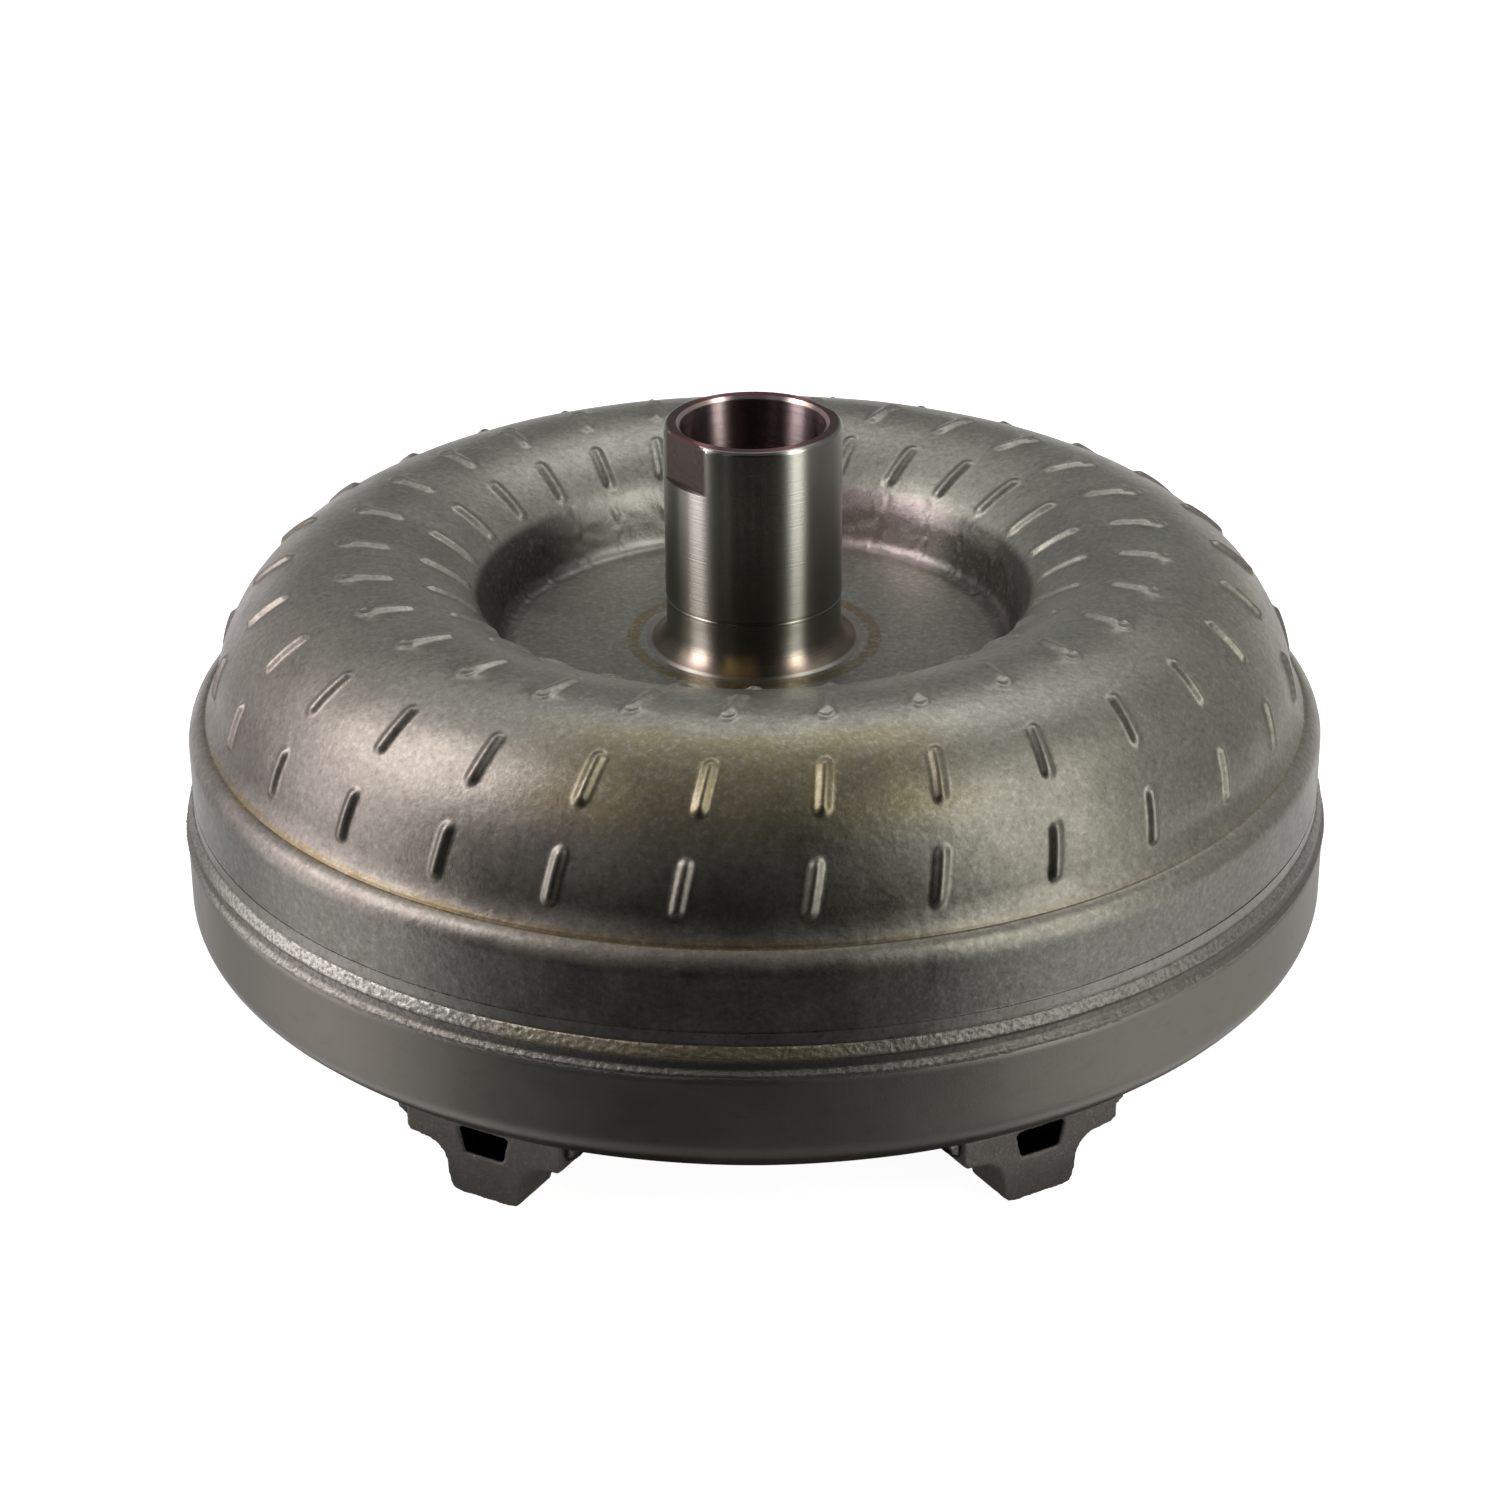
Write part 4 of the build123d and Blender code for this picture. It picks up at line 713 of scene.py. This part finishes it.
def cover_piece():
    """Pressed front cover with its bend, corner radius and inside rabbet."""
    bend_centre = (COVER_FLAT_R, COVER_BOTTOM + COVER_BEND_R)
    bend_deg = math.degrees(math.asin((COVER_BEND_END_R - COVER_FLAT_R) / COVER_BEND_R))
    bend_end = polar(COVER_BEND_R, bend_deg - 90, bend_centre)
    corner_r = (COVER_R - COVER_BEND_END_R) / (1 - math.sin(math.radians(bend_deg)))
    corner_centre = (COVER_R - corner_r, bend_end[1] + corner_r * math.cos(math.radians(bend_deg)))
    inside_z = COVER_BOTTOM + COVER_T
    inside_centre = (COVER_INNER_R - COVER_INNER_BEND_R, inside_z + COVER_INNER_BEND_R)
    edge = 0.4
    points = outline(
        line((COVER_R - edge, COVER_TOP), (COVER_R, COVER_TOP - edge)),
        line((COVER_R, COVER_TOP - 2), (COVER_R, corner_centre[1]), 8),
        arc(corner_centre, corner_r, 0, bend_deg - 90, 10),
        arc(bend_centre, COVER_BEND_R, bend_deg - 90, -90, 16),
        line((COVER_FLAT_R, COVER_BOTTOM), (PILOT_SPIGOT_R + 0.3, COVER_BOTTOM), 16),
        line((PILOT_SPIGOT_R, COVER_BOTTOM + 0.3), (PILOT_SPIGOT_R, inside_z)),
        line((PILOT_SPIGOT_R, inside_z), (inside_centre[0], inside_z), 8),
        arc(inside_centre, COVER_INNER_BEND_R, -90, 0, 8),
        line((COVER_INNER_R, SKIRT_BOTTOM), (RABBET_R, SKIRT_BOTTOM)),
        line((RABBET_R, COVER_TOP), (RABBET_R, COVER_TOP)),
    )
    columns = np.linspace(-180, 180, 480, endpoint=False)
    rng = np.random.default_rng(11)
    uneven = ring_noise(rng, columns[None, :], lengths(points)[:, None], 20, 18, 0.08)
    pressed = smoothstep(60, 100, points[:, :1]) * (1 - smoothstep(48, 52, points[:, 1:]))
    normals = profile_normals(points)
    outside = np.arange(len(points))[:, None] < len(points) // 2
    lift = -0.03 * np.abs(uneven) * pressed * outside
    return ring_mesh("front_cover_detail", points[:, :1] + normals[:, :1] * lift,
                     points[:, 1:] + normals[:, 1:] * lift, columns[None, :])


def pilot_piece():
    """Crankshaft pilot: a turned boss with a root collar, a dished face and broken edges."""
    edge = 0.4
    collar_low = COVER_BOTTOM - PILOT_COLLAR_H
    points = outline(
        line((PILOT_SPIGOT_R, PILOT_TOP), (PILOT_SPIGOT_R, COVER_BOTTOM)),
        line((PILOT_COLLAR_R, COVER_BOTTOM), (PILOT_COLLAR_R, collar_low + edge)),
        line((PILOT_COLLAR_R - edge, collar_low), (PILOT_R + edge, collar_low)),
        line((PILOT_R, collar_low - edge), (PILOT_R, PILOT_BOTTOM + 2), 5),
        arc((PILOT_R - 2, PILOT_BOTTOM + 2), 2.0, 0, -90, 6),
        line((PILOT_R - 3, PILOT_BOTTOM), (PILOT_R - 6, PILOT_BOTTOM), 2),
        line((PILOT_R - 6.6, PILOT_BOTTOM + 0.6), (PILOT_R - 8, PILOT_BOTTOM + 3), 2),
        line((PILOT_R - 9, PILOT_BOTTOM + 3), (2.5, PILOT_BOTTOM + 3), 5),
        line((0.9, PILOT_BOTTOM + 4.4), (0.05, PILOT_BOTTOM + 5.2)),
        line((0.05, PILOT_TOP), (PILOT_SPIGOT_R - 1, PILOT_TOP), 5),
    )
    columns = np.linspace(-180, 180, 144, endpoint=False)
    return ring_mesh("pilot_boss_detail", points[:, :1], points[:, 1:], columns[None, :])


def pilot_weld_piece():
    """Fillet weld round the pilot's collar, with ripples."""
    rng = np.random.default_rng(3)
    leg = 3.0
    root = PILOT_COLLAR_R
    points = outline(
        line((root - 0.3, COVER_BOTTOM + 0.2), (root - 0.3, COVER_BOTTOM - leg + 0.2), 2),
        arc((root + leg, COVER_BOTTOM - leg), leg - 0.3, 180, 90, 8),
    )[::-1]
    columns = np.linspace(-180, 180, 360, endpoint=False)
    ripple = 0.12 * np.sin(np.radians(columns) * 70)[None, :] + 0.08 * ring_noise(
        rng, columns[None, :], lengths(points)[:, None], 12, 30, 0.5)
    normals = profile_normals(points)
    return ring_mesh("pilot_weld_detail", points[:, :1] + normals[:, :1] * ripple,
                     points[:, 1:] + normals[:, 1:] * ripple, columns[None, :])


# ---------------------------------------------------------------- lugs and their welds
def cast_mesh(name, node, voxel, rounding, roughness_mm, grain_mm):
    """Copy of a CAD solid remeshed at voxel mm, with softened edges and a skin pitted by roughness_mm."""
    copy = bpy.data.objects.new(name + "_work", frame["nodes"][node].data.copy())
    bpy.context.scene.collection.objects.link(copy)
    remesh = copy.modifiers.new("remesh", "REMESH")
    remesh.mode = "VOXEL"
    remesh.voxel_size = voxel * MM
    soften = copy.modifiers.new("soften", "SMOOTH")
    soften.factor = 0.5
    soften.iterations = rounding
    graph = bpy.context.evaluated_depsgraph_get()
    mesh = bpy.data.meshes.new_from_object(copy.evaluated_get(graph))
    mesh.name = name
    bpy.data.objects.remove(copy)
    mesh.materials.clear()
    places = np.empty(len(mesh.vertices) * 3)
    normals = np.empty(len(mesh.vertices) * 3)
    mesh.vertices.foreach_get("co", places)
    mesh.vertex_normals.foreach_get("vector", normals)
    places = places.reshape(-1, 3)
    for place, normal in zip(places, normals.reshape(-1, 3)):
        sample = Vector(place) / (grain_mm * MM)
        rough = noise.noise(sample) + 0.5 * noise.noise(sample * 2.3)
        place -= normal * max(rough, 0.0) * roughness_mm * MM
    mesh.vertices.foreach_set("co", places.ravel())
    mesh.update()
    return mesh


# ---------------------------------------------------------------- assembly
for made, slot, node in (
    (shell_piece(), "shell_steel", "impeller_shell"),
    (closure_weld_piece(), "weld_metal", "closure_weld"),
    (cover_piece(), "cover_steel", "front_cover"),
    (pilot_piece(), "pilot_steel", "pilot_boss"),
    (pilot_weld_piece(), "weld_metal", "pilot_weld"),
):
    add_object(made.name, made, PAINTS[slot], "housing", slot, node, sharp=50)
hub = hub_piece()
add_object(hub.name, hub, PAINTS["hub_steel"], "housing", "hub_steel", "impeller_hub", sharp=18)
for number in range(1, 1 + round(360 / LUG_STEP)):
    node_name = f"mounting_lug_{number}"
    lug = cast_mesh(node_name + "_detail", node_name, 0.55, 4, 0.12, 1.8)
    add_object(lug.name, lug, PAINTS["lug_steel"], "housing", "lug_steel", node_name, sharp=60)
beads = cast_mesh("lug_welds_detail", "lug_welds", 0.6, 6, 0.35, 1.6)
add_object(beads.name, beads, PAINTS["weld_metal"], "housing", "weld_metal", "lug_welds", sharp=60)

for name, node in frame["nodes"].items():
    node.data.materials.clear()
    node.data.materials.append(PAINTS[node_slots[name]])
    node.data.shade_smooth()
    node.data.set_sharp_from_angle(angle=math.radians(32))


# ---------------------------------------------------------------- studio
# light panels in degrees: azimuth from, to and softness, elevation from, to and softness, strength
SIDE_PANELS = (
    (70, 140, 14, 4, 40, 12, 0.15),
    (135, 190, 26, 50, 64, 9, 0.7),
)
BACK_PANELS = (
    (140, 178, 14, 50, 62, 8, 0.7),
)
LEFT_PANELS = (
    (-102, -79, 10, -10, 24, 14, 1.15),
    (-102, -78, 12, 30, 54, 9, 2.7),
    (-104, -74, 14, -34, -20, 8, 0.6),
    (-37, -33, 2.5, 5, 62, 8, 0.45),
)
RIGHT_PANELS = (
    (49, 66, 9, -2, 40, 13, 1.5),
    (52, 84, 12, 42, 56, 9, 1.3),
    (52, 82, 14, -28, -14, 7, 0.7),
    (96, 130, 14, -36, -12, 8, 0.34),
)
FLAG_R = 152.0                  # the shaded table reaches just past the housing
FLAG_LIFT = 0.4


def studio_world():
    """Soft light from all round: panels on each side, a bright backdrop and a dim room in front."""
    world = bpy.data.worlds.new("studio")
    world.use_nodes = True
    bpy.context.scene.world = world
    w = Nodes(world.node_tree)
    direction = w.node("TexCoord").outputs["Generated"]
    x, y, z = w.node("SeparateXYZ", {0: direction}).outputs
    degrees = math.degrees(1)
    azimuth = w.math("MULTIPLY", w.math("ARCTAN2", x, w.math("MULTIPLY", y, -1.0)), degrees)
    elevation = w.math("MULTIPLY", w.math("ARCSINE", z), degrees)
    aside = w.math("ABSOLUTE", azimuth)

    def diffusers(angle, rows):
        """Sum of soft panels: azimuth from, to and softness, elevation from, to and softness, strength."""
        panels = []
        for low_az, high_az, soft_az, low_el, high_el, soft_el, strength in rows:
            across = w.band(angle, low_az, high_az, soft_az)
            up = w.band(elevation, low_el, high_el, soft_el)
            panels.append(w.times(across, up, strength))
        return w.plus(*panels)

    room = w.smooth(aside, 30, 120, 0.009, 0.17)
    overhead = w.smooth(elevation, 45, 80, 0.0, 0.08)
    floor_glow = w.smooth(elevation, -32, -50, 0.0, 0.13)
    behind = w.smooth(aside, 122, 155)
    backdrop = w.times(behind, w.smooth(elevation, 17, -8), w.smooth(elevation, -74, -60), 0.76)
    table = w.times(w.smooth(aside, 52, 130), w.band(elevation, -78, -47, 8), 0.85)
    both_sides = diffusers(aside, SIDE_PANELS)
    back_right = diffusers(azimuth, BACK_PANELS)
    neutral = w.plus(room, overhead, floor_glow, backdrop, table, both_sides, back_right)

    def tinted(color, amount):
        made = w.node("CombineColor", dict(enumerate(color))).outputs[0]
        return w.node("VectorMath", {0: made, "Scale": amount}, operation="SCALE").outputs[0]

    def added(first, second):
        return w.node("VectorMath", {0: first, 1: second}, operation="ADD").outputs[0]

    grey = w.node("CombineColor", {0: neutral, 1: neutral, 2: neutral}).outputs[0]
    warm = tinted((1.0, 0.955, 0.94), diffusers(azimuth, LEFT_PANELS))
    cool = tinted((0.985, 1.0, 0.955), diffusers(azimuth, RIGHT_PANELS))
    total = added(grey, added(warm, cool))
    background = world.node_tree.nodes["Background"]
    world.node_tree.links.new(total, background.inputs["Color"])


def stage_sheet(name, corners, color):
    """Flat matt polygon that belongs to the studio, with its shader."""
    mesh = bpy.data.meshes.new(name)
    mesh.from_pydata(corners, [], [tuple(range(len(corners)))])
    sheet = bpy.data.objects.new(name, mesh)
    bpy.context.scene.collection.objects.link(sheet)
    material = bpy.data.materials.new(name + "_paint")
    material.use_nodes = True
    shader = material.node_tree.nodes["Principled BSDF"]
    shader.inputs["Base Color"].default_value = (*color, 1.0)
    shader.inputs["Roughness"].default_value = 0.9
    shader.inputs["Specular IOR Level"].default_value = 0.0
    mesh.materials.append(material)
    return sheet, shader


def studio_floor():
    """Plain pale floor. Polished steel doesn't mirror it, as on a light table with black flags."""
    half = 6.0
    corners = [(-half, -half, 0), (half, -half, 0), (half, half, 0), (-half, half, 0)]
    floor, shader = stage_sheet("studio_floor", corners, (0.85, 0.85, 0.85))
    shader.inputs["Emission Color"].default_value = (1.0, 1.0, 1.0, 1.0)
    shader.inputs["Emission Strength"].default_value = 0.95
    floor.visible_glossy = False


def studio_flag():
    """Black disc under the object: only reflections see it, as the shaded table they would meet."""
    sides = 64
    corners = [(*polar(FLAG_R * MM, 360 * i / sides), FLAG_LIFT * MM) for i in range(sides)]
    flag, _ = stage_sheet("studio_flag", corners, (0.01, 0.01, 0.01))
    flag.visible_camera = False
    flag.visible_diffuse = False
    flag.visible_shadow = False


def hub_softbox(name, azimuth, width, power, color):
    """Upright softbox beside the camera that lights only the ground hub, for its bright streaks.

    Sizes are in metres here and the power is in watts.
    """
    distance = 1.3
    height = 1.1
    foot = 0.35
    data = bpy.data.lights.new(name, "AREA")
    data.shape = "RECTANGLE"
    data.size = width
    data.size_y = height
    data.energy = power
    data.color = color
    box = bpy.data.objects.new(name, data)
    angle = math.radians(azimuth)
    box.location = (distance * math.sin(angle), -distance * math.cos(angle), foot + height / 2)
    box.rotation_euler = (math.radians(90), 0.0, angle)
    bpy.context.scene.collection.objects.link(box)
    box.visible_camera = False
    receivers = bpy.data.collections.new(name + "_receivers")
    receivers.objects.link(bpy.data.objects["pump_hub_detail"])
    box.light_linking.receiver_collection = receivers


def studio_camera():
    """Camera at the photograph's viewing angle."""
    place = Vector((0.0, -0.8777, 0.4887))
    pitch, yaw, roll = math.radians(25.785), math.radians(-0.082), math.radians(-0.37)
    forward = Vector((math.sin(yaw) * math.cos(pitch), math.cos(yaw) * math.cos(pitch), -math.sin(pitch)))
    level = forward.cross(Vector((0, 0, 1))).normalized()
    up = level.cross(forward)
    right = level * math.cos(roll) + up * math.sin(roll)
    up = up * math.cos(roll) - level * math.sin(roll)
    data = bpy.data.cameras.new("camera")
    data.lens = 87.7
    data.sensor_width = 36.0
    camera = bpy.data.objects.new("camera", data)
    camera.matrix_world = Matrix((right, up, -forward)).transposed().to_4x4()
    camera.location = place
    bpy.context.scene.collection.objects.link(camera)
    bpy.context.scene.camera = camera


studio_world()
studio_floor()
studio_flag()
hub_softbox("hub_softbox_left", -77, 0.50, 27.0, (1.0, 0.95, 0.965))
hub_softbox("hub_softbox_right", 58, 0.36, 18.0, (0.985, 1.0, 0.94))
studio_camera()
bpy.context.scene.view_settings.view_transform = "Standard"
